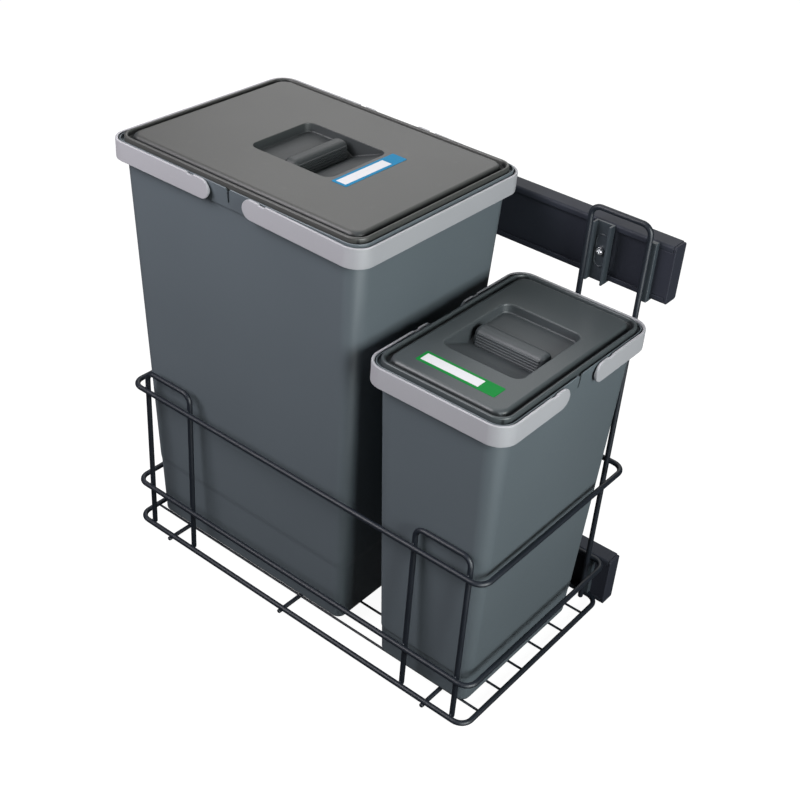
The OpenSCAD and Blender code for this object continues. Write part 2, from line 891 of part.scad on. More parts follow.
module lower_inner_member() {
  inner_member(lower_z);
}

module upper_carrier() {
  carrier(upper_z);
}

module lower_carrier() {
  carrier(lower_z);
}

module upper_front_cap() {
  end_cap(upper_z, -1);
}

module upper_rear_cap() {
  end_cap(upper_z, 1);
}

module lower_front_cap() {
  end_cap(lower_z, -1);
}

module lower_rear_cap() {
  end_cap(lower_z, 1);
}

// the upper brackets cover both lips and hook under the rail
upper_low = -carrier_half - clamp_gap - bracket_t;
upper_high = carrier_half - 0.5;
// the lower brackets stand between the floor ring and the middle ring
lower_half = lower_rail_z - wire_r - 0.3;
// the rear bracket's flanges end below the lower bail's bends
rear_flange_high = min(upper_high, bail_rear_z - hoop_r - 0.3 - lower_rail_z - rail_spacing);

module upper_front_bracket() {
  bracket(upper_z, -1, upper_low, upper_high, upper_high, true);
}

module upper_rear_bracket() {
  bracket(upper_z, 1, upper_low, upper_high, rear_flange_high, true);
}

module lower_front_bracket() {
  bracket(lower_z, -1, -lower_half, lower_half, lower_half, false);
}

module lower_rear_bracket() {
  bracket(lower_z, 1, -lower_half, lower_half, lower_half, false);
}

module upper_front_clip() {
  clip(upper_z, -1, upper_low, upper_high, true);
}

module upper_rear_clip() {
  clip(upper_z, 1, upper_low, upper_high, true);
}

module lower_front_clip() {
  clip(lower_z, -1, -lower_half, lower_half, false);
}

module lower_rear_clip() {
  clip(lower_z, 1, -lower_half, lower_half, false);
}

module floor_ring() {
  ring(0);
}

module middle_ring() {
  ring(mid_ring_z);
}

module top_ring() {
  ring(top_ring_z);
}

module near_front_hoop() {
  arch(-leg_x, -1, hoop_top_z);
}

module near_rear_hoop() {
  arch(-leg_x, 1, hoop_top_z);
}

module wall_front_bail() {
  arch(leg_x, -1, bail_front_z);
}

module wall_rear_bail() {
  arch(leg_x, 1, bail_rear_z);
}

module big_bin() {
  color([0.2, 0.22, 0.25])
    at_big()
      bin_shell(big_w / 2, big_l / 2, big_floor_w / 2, big_floor_l / 2, big_top_z, big_pivot_z,
        big_step_z, true);
}

module big_front_handle() {
  color([0.66, 0.67, 0.68])
    at_big()
      translate([0, -pivot_off, big_pivot_z])
        rotate([big_droop, 0, 0])
          translate([0, pivot_off, -big_pivot_z])
            rotate([0, 0, 180])
              half_handle(big_w / 2, big_l / 2, big_handle_h, big_pivot_z);
}

module big_rear_handle() {
  color([0.66, 0.67, 0.68])
    at_big()
      half_handle(big_w / 2, big_l / 2, big_handle_h, big_pivot_z);
}

module big_lid() {
  color([0.45, 0.46, 0.46])
    at_big()
      lid(big_w / 2, big_l / 2, big_top_z, big_recess_w / 2, big_recess_l / 2, true);
}

// sticker on the panel in front of the grip recess
module big_label() {
  color([0.85, 0.87, 0.9])
    at_big()
      translate([-big_label_l / 2, -big_recess_l / 2 - 11 - label_w, big_top_z + panel_top])
        cube([big_label_l, label_w, label_t]);
}

module small_bin() {
  color([0.2, 0.22, 0.25])
    at_small()
      bin_shell(small_w / 2, small_l / 2, small_floor_w / 2, small_floor_l / 2, small_top_z, small_pivot_z,
        small_step_z, false);
}

module small_wall_handle() {
  color([0.66, 0.67, 0.68])
    at_small()
      rotate([0, 0, -90])
        half_handle(small_l / 2, small_w / 2, small_handle_h, small_pivot_z);
}

module small_near_handle() {
  color([0.66, 0.67, 0.68])
    at_small()
      rotate([0, 0, 90])
        half_handle(small_l / 2, small_w / 2, small_handle_h, small_pivot_z);
}

module small_lid() {
  color([0.28, 0.3, 0.31])
    at_small()
      lid(small_w / 2, small_l / 2, small_top_z, small_recess_w / 2, small_recess_l / 2, false);
}

// sticker on the panel beside the grip recess
module small_label() {
  color([0.85, 0.9, 0.85])
    at_small()
      translate([-small_recess_w / 2 - 23 - label_w, -small_label_l / 2, small_top_z + panel_top])
        cube([label_w, small_label_l, label_t]);
}

upper_wall_member();
lower_wall_member();
upper_outer_cage();
lower_outer_cage();
upper_outer_balls();
lower_outer_balls();
upper_middle_member();
lower_middle_member();
upper_inner_cage();
lower_inner_cage();
upper_inner_balls();
lower_inner_balls();
upper_inner_member();
lower_inner_member();
upper_carrier();
lower_carrier();
upper_front_cap();
upper_rear_cap();
lower_front_cap();
lower_rear_cap();
upper_front_bracket();
upper_rear_bracket();
lower_front_bracket();
lower_rear_bracket();
upper_front_clip();
upper_rear_clip();
lower_front_clip();
lower_rear_clip();
clamp_plates();
clamp_screws();
floor_ring();
middle_ring();
top_ring();
floor_wires();
cross_wires();
near_front_hoop();
near_rear_hoop();
wall_front_bail();
wall_rear_bail();
big_bin();
big_front_handle();
big_rear_handle();
big_lid();
big_label();
small_bin();
small_near_handle();
small_wall_handle();
small_lid();
small_label();
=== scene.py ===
import json
import math
import bmesh
import bpy
from mathutils import Matrix, Vector


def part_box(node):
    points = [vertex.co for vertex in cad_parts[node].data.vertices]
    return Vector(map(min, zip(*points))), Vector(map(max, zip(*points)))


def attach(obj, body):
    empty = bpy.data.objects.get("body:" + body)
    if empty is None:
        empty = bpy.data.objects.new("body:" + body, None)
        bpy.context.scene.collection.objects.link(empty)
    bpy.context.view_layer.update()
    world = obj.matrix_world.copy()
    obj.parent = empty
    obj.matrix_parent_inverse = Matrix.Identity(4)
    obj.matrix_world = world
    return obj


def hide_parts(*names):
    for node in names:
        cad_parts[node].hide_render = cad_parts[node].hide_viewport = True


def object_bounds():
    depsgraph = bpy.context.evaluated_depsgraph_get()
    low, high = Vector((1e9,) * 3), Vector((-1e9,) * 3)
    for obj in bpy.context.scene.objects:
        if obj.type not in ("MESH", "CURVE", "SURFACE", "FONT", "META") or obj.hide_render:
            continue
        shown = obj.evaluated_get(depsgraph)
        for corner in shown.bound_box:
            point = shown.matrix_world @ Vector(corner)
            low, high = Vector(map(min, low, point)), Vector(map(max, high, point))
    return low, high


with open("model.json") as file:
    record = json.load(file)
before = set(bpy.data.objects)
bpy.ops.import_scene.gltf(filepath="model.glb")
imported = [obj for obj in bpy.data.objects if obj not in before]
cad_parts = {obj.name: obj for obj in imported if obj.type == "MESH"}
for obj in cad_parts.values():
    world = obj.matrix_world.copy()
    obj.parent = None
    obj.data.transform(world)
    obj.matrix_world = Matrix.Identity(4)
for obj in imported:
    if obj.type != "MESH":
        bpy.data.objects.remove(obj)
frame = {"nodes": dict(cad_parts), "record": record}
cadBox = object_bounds()
mm = 0.001
scene = bpy.context.scene
nodeBody = {n: b for b, ns in frame["record"]["behaviour"]["bodies"].items() for n in ns}
nodeSlot = {p["node"]: p["material_slot"] for p in frame["record"]["subparts"]}
ringLow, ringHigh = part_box("floor_ring")
basket = (ringLow + ringHigh) / 2  # middle of the floor ring, where the basket's own heights start
quarters = ((1, 1), (-1, 1), (-1, -1), (1, -1))  # signs at a rectangle's corners, anticlockwise
print("frame loaded:", len(frame["nodes"]), "nodes")


class Tap:  # one output socket, so that node maths reads like plain maths
    def __init__(self, tree, socket):
        self.tree = tree
        self.socket = socket

    def make(self, kind, settings=None, values=None, out=0):
        node = self.tree.nodes.new(kind)
        for key, value in (settings or {}).items():
            setattr(node, key, value)
        for key, value in (values or {}).items():
            self.feed(node.inputs[key], value)
        return Tap(self.tree, node.outputs[out])

    def feed(self, socket, value):
        if isinstance(value, Tap):
            self.tree.links.new(value.socket, socket)
        else:
            socket.default_value = value

    def sum(self, operation, a, b=0.0):
        return self.make("ShaderNodeMath", {"operation": operation}, {0: a, 1: b})

    def __add__(self, other):
        return self.sum("ADD", self, other)

    def __radd__(self, other):
        return self.sum("ADD", other, self)

    def __sub__(self, other):
        return self.sum("SUBTRACT", self, other)

    def __rsub__(self, other):
        return self.sum("SUBTRACT", other, self)

    def __mul__(self, other):
        return self.sum("MULTIPLY", self, other)

    def __rmul__(self, other):
        return self.sum("MULTIPLY", other, self)

    def __truediv__(self, other):
        return self.sum("DIVIDE", self, other)

    def __rtruediv__(self, other):
        return self.sum("DIVIDE", other, self)

    def size(self):
        return self.sum("ABSOLUTE", self)

    def clip(self):
        return self.make("ShaderNodeClamp", None, {"Value": self})

    def split(self):
        return [self.make("ShaderNodeSeparateXYZ", None, {"Vector": self}, k) for k in range(3)]

    def turned(self, scale):
        return self.make("ShaderNodeMapping", None, {"Vector": self, "Scale": scale})

    def noise(self, scale, detail=2.0, rough=0.5):
        return self.make("ShaderNodeTexNoise", None, {
            "Vector": self, "Scale": scale, "Detail": detail, "Roughness": rough})

    def between(self, colourA, colourB):  # sockets 0, 6, 7 are factor and colours, output 2 is the colour
        return self.make("ShaderNodeMix", {"data_type": "RGBA"}, {0: self, 6: colourA, 7: colourB}, 2)

    def bump(self, strength, depth):
        return self.make("ShaderNodeBump", None, {"Strength": strength, "Distance": depth, "Height": self})


def startMaterial(name):
    mat = bpy.data.materials.new(name)
    mat.use_nodes = True
    tree = mat.node_tree
    tree.nodes.clear()
    out = tree.nodes.new("ShaderNodeOutputMaterial")
    shader = tree.nodes.new("ShaderNodeBsdfPrincipled")
    tree.links.new(shader.outputs[0], out.inputs[0])
    where = Tap(tree, None).make("ShaderNodeTexCoord", out="Object")
    return mat, shader, where


def dress(shader, where, paint, rough, relief):
    where.feed(shader.inputs["Base Color"], paint)
    where.feed(shader.inputs["Roughness"], rough)
    where.feed(shader.inputs["Normal"], relief)


def tone(colour, gain):
    return tuple(min(1.0, c * gain) for c in colour[:3]) + (1.0,)


def tones(colour, gains):
    return [tone(colour, gain) for gain in gains]


lidPaintedShadeSet = {  # masks for the painted shade in a lid's recess and groove: where each mask starts, in from the lid's edge or down from its top, and its softness
    "panel": (10.0, 1.0), "bead": (4.3, 0.6), "recess": (0.1, 0.5), "groove": (0.5, 2.0),
    "recessTones": (0.94, 1.06), "grooveTone": 0.4, "recessRough": 0.08,
}


def lidPaintedShade(s, where, grain, paint, rough):  # painted shade: a lid's recess and groove are painted darker than its panel, standing in for the shade that falls in them, and the recess is made a little rougher
    c = lidPaintedShadeSet
    low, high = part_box(s["lid"])
    px, py, height = where.split()

    def within(gap, soft):  # inside the lid's outline by more than the gap
        x = (high.x - low.x) / 2 - gap * mm - (px - (high.x + low.x) / 2).size()
        y = (high.y - low.y) / 2 - gap * mm - (py - (high.y + low.y) / 2).size()
        return (x / (soft * mm)).clip() * (y / (soft * mm)).clip()

    def under(drop, soft):  # lower than the lid's top by more than the drop
        return ((high.z - drop * mm - height) / (soft * mm)).clip()

    panel = within(*c["panel"])
    recess = panel * under(*c["recess"])
    groove = (within(*c["bead"]) - panel).clip() * under(*c["groove"])
    # painted shade: the recess takes the darker below colour, with grain
    paintedRecessShade = grain.between(*tones(s["below"], c["recessTones"]))
    # painted shade: the groove takes a still darker copy of the below colour
    paint = groove.between(recess.between(paint, paintedRecessShade), tone(s["below"], c["grooveTone"]))
    return paint, rough + recess * c["recessRough"]


mouldSet = {
    "speckScale": 0.37, "rubStretch": (60.0, 60.0, 420.0), "rubFrom": 0.62, "rubGain": 9.0,
    "rubTone": 0.05, "grainTone": 0.10, "leastTone": 0.04, "pale": 1.7,
    "roughSpread": 0.10, "rubPolish": 0.04, "bumpMix": (0.7, 0.3), "bumpDeep": 0.00025,
}


def mouldedPlastic(s):  # fine spark-eroded grain, cloudy tone, a few faint rub marks
    c = mouldSet
    mat, shader, where = startMaterial(s["name"])
    cloud = where.noise(s["cloudScale"], 3.0)
    grain = where.noise(s["grainScale"], 2.0, 0.6)
    speck = where.noise(s["grainScale"] * c["speckScale"], 1.0)
    rub = where.turned(c["rubStretch"]).noise(1.0, 3.0, 0.7)
    marks = ((rub - c["rubFrom"]) * c["rubGain"]).clip()
    paint = cloud.between(*tones(s["colour"], (1 - s["mottle"], 1 + s["mottle"])))
    fleck = (marks * c["rubTone"] + (grain - 0.5) * c["grainTone"] + c["leastTone"]).clip()
    paint = fleck.between(paint, tone(s["colour"], c["pale"]))
    spread = c["roughSpread"]
    rough = s["rough"] + (cloud - 0.5) * spread + (speck - 0.5) * spread - marks * c["rubPolish"]
    # a lid gets painted shade in its recess and groove
    if "lid" in s:
        paint, rough = lidPaintedShade(s, where, grain, paint, rough)
    relief = grain * c["bumpMix"][0] + speck * c["bumpMix"][1]
    dress(shader, where, paint, rough, relief.bump(s["grain"], c["bumpDeep"]))
    shader.inputs["Specular IOR Level"].default_value = s["shine"]
    return mat


peelSet = {
    "dustScale": 4.5, "cloudScale": 22.0, "toneMix": (0.7, 0.3), "tones": (0.82, 1.22),
    "dustRough": 0.16, "cloudRough": 0.08, "bumpMix": (0.8, 0.2), "bumpDeep": 0.0003,
}


def powderCoat(s):  # orange peel and a satin film
    c = peelSet
    mat, shader, where = startMaterial(s["name"])
    peel = where.noise(s["peelScale"], 2.0)
    dust = where.noise(s["peelScale"] * c["dustScale"], 2.0)
    cloud = where.noise(c["cloudScale"], 3.0)
    blend = (cloud * c["toneMix"][0] + dust * c["toneMix"][1]).clip()
    rough = s["rough"] + (dust - 0.5) * c["dustRough"] + (cloud - 0.5) * c["cloudRough"]
    relief = peel * c["bumpMix"][0] + dust * c["bumpMix"][1]
    dress(shader, where, blend.between(*tones(s["colour"], c["tones"])), rough,
          relief.bump(s["peel"], c["bumpDeep"]))
    shader.inputs["Specular IOR Level"].default_value = s["shine"]
    return mat


rollSet = {
    "stretch": (1400.0, 9.0, 1400.0), "cloudScale": 35.0, "toneMix": (0.6, 0.4), "tones": (0.8, 1.12),
    "streakRough": 0.2, "cloudRough": 0.1, "bumpDeep": 0.0002,
}


def drawnSteel(s):  # rolled sheet, streaks along the rail
    c = rollSet
    mat, shader, where = startMaterial(s["name"])
    streak = where.turned(c["stretch"]).noise(1.0, 3.0, 0.6)
    cloud = where.noise(c["cloudScale"], 3.0)
    blend = (streak * c["toneMix"][0] + cloud * c["toneMix"][1]).clip()
    rough = s["rough"] + (streak - 0.5) * c["streakRough"] + (cloud - 0.5) * c["cloudRough"]
    dress(shader, where, blend.between(*tones(s["colour"], c["tones"])), rough,
          streak.bump(s["streak"], c["bumpDeep"]))
    shader.inputs["Metallic"].default_value = 1.0
    return mat


filmSet = {
    "soft": 0.15, "fibreScale": 1500.0, "inkTones": (0.94, 1.06), "rough": 0.5, "fibreRough": 0.12,
    "bump": (0.08, 0.0001), "shine": 0.12, "white": ((0.58, 0.58, 0.60, 1), (0.66, 0.66, 0.68, 1)),
}


def stickerFilm(s):  # coloured border and end round a white field
    c = filmSet
    mat, shader, where = startMaterial(s["name"])
    px, py = where.split()[:2]
    soft = c["soft"] * mm
    (x0, x1), (y0, y1) = s["field"]
    inX = ((px - x0) / soft).clip() * ((x1 - px) / soft).clip()
    inY = ((py - y0) / soft).clip() * ((y1 - py) / soft).clip()
    fibre = where.noise(c["fibreScale"], 2.0)
    ink = fibre.between(*tones(s["colour"], c["inkTones"]))
    dress(shader, where, (inX * inY).between(ink, fibre.between(*c["white"])),
          c["rough"] + (fibre - 0.5) * c["fibreRough"], fibre.bump(*c["bump"]))
    shader.inputs["Specular IOR Level"].default_value = c["shine"]
    return mat


plasticSet = {
    "bin_plastic": {"name": "binPlastic", "colour": (0.099, 0.119, 0.134), "rough": 0.40, "shine": 0.5,
                    "cloudScale": 9.0, "grainScale": 2300.0, "grain": 0.16, "mottle": 0.05},
    "handle_plastic": {"name": "handlePlastic", "colour": (0.350, 0.350, 0.374), "rough": 0.46, "shine": 0.45,
                       "cloudScale": 16.0, "grainScale": 2600.0, "grain": 0.14, "mottle": 0.04},
    # each lid's below colour is the painted shade for its recess and groove
    "big_lid_plastic": {"name": "bigLidPlastic", "colour": (0.054, 0.055, 0.053), "rough": 0.42, "shine": 0.45,
                        "cloudScale": 11.0, "grainScale": 2300.0, "grain": 0.18, "mottle": 0.05,
                        "lid": "big_lid", "below": (0.030, 0.034, 0.036)},
    "small_lid_plastic": {"name": "smallLidPlastic", "colour": (0.052, 0.061, 0.065), "rough": 0.36, "shine": 0.45,
                          "cloudScale": 13.0, "grainScale": 2300.0, "grain": 0.18, "mottle": 0.05,
                          "lid": "small_lid", "below": (0.046, 0.053, 0.058)},
    "cap_plastic": {"name": "capPlastic", "colour": (0.022, 0.024, 0.034), "rough": 0.56, "shine": 0.15,
                    "cloudScale": 30.0, "grainScale": 2600.0, "grain": 0.2, "mottle": 0.1},
}
coatSet = {
    "rail_coat": {"name": "railCoat", "colour": (0.023, 0.026, 0.036), "rough": 0.52, "shine": 0.16,
                  "peelScale": 520.0, "peel": 0.22},
    "bracket_coat": {"name": "bracketCoat", "colour": (0.034, 0.043, 0.052), "rough": 0.42, "shine": 0.45,
                     "peelScale": 560.0, "peel": 0.22},
    "wire_coat": {"name": "wireCoat", "colour": (0.009, 0.012, 0.018), "rough": 0.44, "shine": 0.34,
                  "peelScale": 640.0, "peel": 0.2},
}
steelSet = {
    "slide_steel": {"name": "slideSteel", "colour": (0.60, 0.61, 0.63), "rough": 0.36, "streak": 0.12},
    "cage_steel": {"name": "cageSteel", "colour": (0.58, 0.54, 0.43), "rough": 0.42, "streak": 0.1},
    "ball_steel": {"name": "ballSteel", "colour": (0.78, 0.78, 0.80), "rough": 0.16, "streak": 0.03},
    "bright_zinc": {"name": "brightZinc", "colour": (0.80, 0.81, 0.83), "rough": 0.26, "streak": 0.08},
}
finishes = {k: mouldedPlastic(v) for k, v in plasticSet.items()}
finishes.update({k: powderCoat(v) for k, v in coatSet.items()})
finishes.update({k: drawnSteel(v) for k, v in steelSet.items()})

bigLabelLow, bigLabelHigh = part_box("big_label")
smallLabelLow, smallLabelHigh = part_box("small_label")
labelSet = {
    "border": 2.9, "plainEnd": 18.4, "corner": 1.2, "cornerSteps": 5, "topEase": 0.1, "easeFrom": 0.5, "sharp": 30,
    "blue": (0.0, 0.172, 0.345), "green": (0.004, 0.185, 0.032),
}
edge, plain = labelSet["border"] * mm, labelSet["plainEnd"] * mm
finishes["big_label_film"] = stickerFilm({
    "name": "bigLabelFilm", "colour": labelSet["blue"],
    "field": ((bigLabelLow.x + edge, bigLabelHigh.x - plain), (bigLabelLow.y + edge, bigLabelHigh.y - edge))})
finishes["small_label_film"] = stickerFilm({
    "name": "smallLabelFilm", "colour": labelSet["green"],
    "field": ((smallLabelLow.x + edge, smallLabelHigh.x - edge),
              (smallLabelLow.y + plain, smallLabelHigh.y - edge))})
print("finishes made:", len(finishes))


def arcAngles(last, steps):  # radians from nothing up to the last angle, which is in degrees
    return [math.radians(last * k / steps) for k in range(steps + 1)]


def roundLoop(halfX, halfY, radius, z, steps=8):  # rounded rectangle, anticlockwise
    points = []
    for k, (sx, sy) in enumerate(quarters):
        for i in range(steps + 1):
            a = math.radians(90 * (k + i / steps))
            points.append((sx * (halfX - radius) + radius * math.cos(a),
                           sy * (halfY - radius) + radius * math.sin(a), z))
    return points


def addLoops(bm, loops, closeFirst=False, closeLast=False):
    rings = [[bm.verts.new(p) for p in loop] for loop in loops]
    for a, b in zip(rings, rings[1:]):
        for i in range(len(a)):
            j = (i + 1) % len(a)
            bm.faces.new((a[i], a[j], b[j], b[i]))
    if closeFirst:
        bm.faces.new(list(reversed(rings[0])))
    if closeLast:
        bm.faces.new(rings[-1])
    return rings


def addRod(bm, start, end, radius, sides=24):
    start, end = Vector(start), Vector(end)
    turn = (end - start).to_track_quat("Z", "Y").to_matrix().to_4x4()
    spot = Matrix.Translation((start + end) / 2) @ turn
    bmesh.ops.create_cone(bm, cap_ends=True, segments=sides, radius1=radius, radius2=radius,
                          depth=(end - start).length, matrix=spot)


def shadeSmooth(mesh, sharp):
    for face in mesh.polygons:
        face.use_smooth = True
    mesh.set_sharp_from_angle(angle=math.radians(sharp))


def meshOf(bm, name, sharp=38.0, turn=None, outward=True):  # from millimetres
    if outward:
        bmesh.ops.recalc_face_normals(bm, faces=bm.faces)
    if turn is not None:
        bm.transform(turn)
    bm.transform(Matrix.Diagonal((mm, mm, mm, 1)))
    mesh = bpy.data.meshes.new(name)
    bm.to_mesh(mesh)
    bm.free()
    shadeSmooth(mesh, sharp)
    return mesh


def linkPiece(name, mesh):
    obj = bpy.data.objects.new(name, mesh)
    scene.collection.objects.link(obj)
    return obj


def finalMesh(obj):
    bpy.context.view_layer.update()
    ready = obj.evaluated_get(bpy.context.evaluated_depsgraph_get())
    return bpy.data.meshes.new_from_object(ready)


def applied(obj):  # the evaluated mesh becomes the object's own, modifiers go
    mesh = finalMesh(obj)
    mesh.name = obj.name
    obj.modifiers.clear()
    obj.data = mesh
    return obj


def evenNormals(obj):
    fix = obj.modifiers.new("evenNormals", "WEIGHTED_NORMAL")
    fix.mode = "FACE_AREA_WITH_ANGLE"
    fix.keep_sharp = True
    return applied(obj)


def settle(obj, body, slotName, *nodes):  # finish, body and the solids a piece stands for
    obj.data.materials.clear()
    obj.data.materials.append(finishes[slotName])
    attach(obj, body)
    if nodes:
        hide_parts(*nodes)
    return obj


def startTree(name, inputs):
    tree = bpy.data.node_groups.new(name, "GeometryNodeTree")
    tree.interface.new_socket("Geometry", in_out="INPUT", socket_type="NodeSocketGeometry")
    tree.interface.new_socket("Geometry", in_out="OUTPUT", socket_type="NodeSocketGeometry")
    ids = {label: tree.interface.new_socket(label, in_out="INPUT", socket_type=kind).identifier
           for label, kind in inputs.items()}
    return tree, ids, tree.nodes.new("NodeGroupInput"), tree.nodes.new("NodeGroupOutput")


def endTree(tree, source, given, result):
    smooth = tree.nodes.new("GeometryNodeSetShadeSmooth")
    real = tree.nodes.new("GeometryNodeRealizeInstances")
    coat = tree.nodes.new("GeometryNodeSetMaterial")
    tree.links.new(source, smooth.inputs["Geometry"])
    tree.links.new(smooth.outputs[0], real.inputs[0])
    tree.links.new(real.outputs[0], coat.inputs["Geometry"])
    tree.links.new(given.outputs["finish"], coat.inputs["Material"])
    tree.links.new(coat.outputs[0], result.inputs[0])


def grow(obj, tree, ids, values):  # runs a tree on an object and keeps the mesh
    mod = obj.modifiers.new(tree.name, "NODES")
    mod.node_group = tree
    for label, value in values.items():
        mod[ids[label]] = value
    mesh = finalMesh(obj)
    name = obj.name
    bpy.data.objects.remove(obj)
    mesh.name = name
    return linkPiece(name, mesh)


handleSet = {
    "thick": 2.6, "corner": 19.0, "cornerSteps": 8, "endFromMiddle": 20.5, "endSteps": 9, "pivotOff": 43.0,
    "edge": 0.8, "edgeCut": 0.29, "peg": 3.0, "pegStart": 0.3, "pegEnd": 6.6, "frontDroop": 1.5,
    "notchLong": 7.0, "notchDeep": 1.3, "sharp": 40,
    "notchShape": ((-0.5, 0.0), (0.0, 0.8), (0.6, 1.0)),  # distance past the notch's start, share of its depth
}
binSet = {
    "big": {"node": "big_bin", "wide": 232.8, "long": 304.0, "floorWide": 179.0, "floorLong": 259.0,
            "top": 439.6, "step": 74.0, "stepSoft": 5.0, "handleTall": 19.0, "pivotOnX": True},
    "small": {"node": "small_bin", "wide": 228.0, "long": 147.6, "floorWide": 178.0, "floorLong": 107.0,
              "top": 341.7, "step": 35.0, "stepSoft": 1.2, "handleTall": 20.0, "pivotOnX": False},
    "wall": 2.2, "stepIn": 0.7, "stepReach": 12.0, "footRound": 5.0, "footSteps": 5,
    "floorCorner": 10.0, "topCorner": 18.0, "leastCorner": 3.0,
    "rimBelow": 0.6, "rimInset": 3.8, "skirtInset": 5.4, "bodyInset": 7.4, "rimTall": 8.0, "skirtTall": 19.5,
    "lipRound": 0.6, "lipSteps": 8, "ledgeDown": 3.6, "ledgeSoft": 0.3, "ledgeEnd": (0.6, 0.1),
    "innerFoot": 14.0, "innerRound": 4.0, "innerSteps": 4,
    "slitWide": 2.3, "slitTall": 14.0, "slitHead": 5.8, "slitFunnel": 3.4, "slitLip": 0.4, "slitDeep": 1.5,
    "slitPast": 2.0, "bossRadius": 7.0, "bossIn": 0.6, "bossOut": 3.3, "sharp": 30,
    # place in the step in and share of it still to come
    "stepShape": ((-1.0, 1.0), (-0.6, 0.92), (-0.2, 0.65), (0.2, 0.35), (0.6, 0.08), (1.0, 0.0)),
    # drop under the skirt and growth of the wall there, then the skirt's own inset and height
    "underSkirt": ((8.0, 0.0), (1.6, 0.0), (0.8, 0.25)),
    "skirtShape": ((0.9, -0.25), (0.3, 0.1), (0.0, 0.8)),
}


def binMiddle(s):
    low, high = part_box(s["node"])
    return Vector(((low.x + high.x) / 2, (low.y + high.y) / 2, basket.z)) / mm


def binLoops(s):  # from the foot up the outside, over the rim and down the inside
    c = binSet
    floorZ = (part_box(s["node"])[0].z - basket.z) / mm
    rimZ = s["top"] - c["rimBelow"]
    bodyZ = rimZ - c["rimTall"]
    skirtZ = rimZ - c["skirtTall"]
    hx, hy = s["wide"] / 2, s["long"] / 2
    fx, fy = s["floorWide"] / 2, s["floorLong"] / 2

    def wall(z, grow=0.0):
        k = (z - floorZ) / (bodyZ - floorZ)
        r = c["floorCorner"] + (c["topCorner"] - c["floorCorner"]) * k
        x = fx + (hx - c["bodyInset"] - fx) * k
        y = fy + (hy - c["bodyInset"] - fy) * k
        return (x + grow, y + grow, r + grow, z)

    def band(inset, z):
        return (hx - inset, hy - inset, handleSet["corner"] - inset, z)

    foot, out = c["footRound"], []
    for a in arcAngles(90, c["footSteps"]):
        z = floorZ + foot * (1 - math.cos(a))
        out.append(wall(z, -c["stepIn"] - foot * (1 - math.sin(a))))
    step = s["step"]
    out.append(wall(step - c["stepReach"], -c["stepIn"]))
    out += [wall(step + t * s["stepSoft"], -c["stepIn"] * k) for t, k in c["stepShape"]]
    out.append(wall(step + c["stepReach"]))
    out += [wall(skirtZ - drop, more) for drop, more in c["underSkirt"]]
    out += [band(c["skirtInset"] + d, skirtZ + z) for d, z in c["skirtShape"]]
    ri, lip = c["rimInset"], c["lipRound"]
    for a in arcAngles(180, c["lipSteps"]):  # thin lip, then the ledge that the lid sits on
        out.append(band(ri + lip * (1 - math.cos(a)), rimZ - lip * (1 - math.sin(a))))
    ledgeZ, soft = rimZ - c["ledgeDown"], c["ledgeSoft"]
    inner = c["bodyInset"] + c["wall"]
    out += [band(ri + 2 * lip, ledgeZ + soft), band(ri + 2 * lip + soft, ledgeZ),
            band(inner - c["ledgeEnd"][0], ledgeZ), band(inner - c["ledgeEnd"][1], ledgeZ - soft)]
    out += [wall(bodyZ, -c["wall"]), wall(floorZ + c["innerFoot"], -c["wall"] - c["stepIn"])]
    turn = c["innerRound"]
    for a in arcAngles(90, c["innerSteps"]):
        z = floorZ + c["wall"] + turn * (1 - math.sin(a))
        out.append(wall(z, -c["wall"] - c["stepIn"] - turn * (1 - math.cos(a))))
    return [roundLoop(x, y, max(r, c["leastCorner"]), z) for x, y, r, z in out]


def onSide(s, out, along, z):  # a point on one of the sides that carry the handles' pivots
    return (out, along, z) if s["pivotOnX"] else (along, out, z)


def makeBin(name, s):
    c = binSet
    bm = bmesh.new()
    addLoops(bm, binLoops(s), True, True)
    body = linkPiece(name, meshOf(bm, name, c["sharp"]))
    cut = bmesh.new()
    reach = (s["wide"] if s["pivotOnX"] else s["long"]) / 2
    rimZ = s["top"] - c["rimBelow"]
    half, head = c["slitWide"] / 2, c["slitHead"] / 2
    tall, funnel, lip, past = c["slitTall"], c["slitFunnel"], c["slitLip"], c["slitPast"]
    outline = [(-half, -tall), (half, -tall), (half, -funnel), (head, -lip), (head, past),
               (-head, past), (-head, -lip), (-half, -funnel)]
    for side in (-1, 1):
        ends = [side * (reach - c["bodyInset"] - c["slitDeep"]), side * (reach + past)]
        addLoops(cut, [[onSide(s, e, t, rimZ + z) for t, z in outline] for e in ends], True, True)
    cutter = linkPiece(name + "Slit", meshOf(cut, name + "Slit"))
    slit = body.modifiers.new("slit", "BOOLEAN")
    slit.operation = "DIFFERENCE"
    slit.solver = "EXACT"
    slit.use_self = True
    slit.object = cutter
    applied(body)
    bpy.data.objects.remove(cutter)
    bm = bmesh.new()
    bm.from_mesh(body.data)
    bmesh.ops.scale(bm, vec=(1000, 1000, 1000), verts=bm.verts)  # back to millimetres
    z = s["top"] - s["handleTall"] / 2
    for side in (-1, 1):  # bosses behind the handle pivots
        for along in (-1, 1):
            ends = [side * (reach - c["bodyInset"] - c["bossIn"]), side * (reach - c["bossOut"])]
            pin, tip = (onSide(s, e, along * handleSet["pivotOff"], z) for e in ends)
            addRod(bm, pin, tip, c["bossRadius"])
    body.data = meshOf(bm, name, c["sharp"], Matrix.Translation(binMiddle(s)), False)
    evenNormals(body)
    return settle(body, s["node"], "bin_plastic", s["node"])


makeBin("bigBin", binSet["big"])
makeBin("smallBin", binSet["small"])
print("bins made")


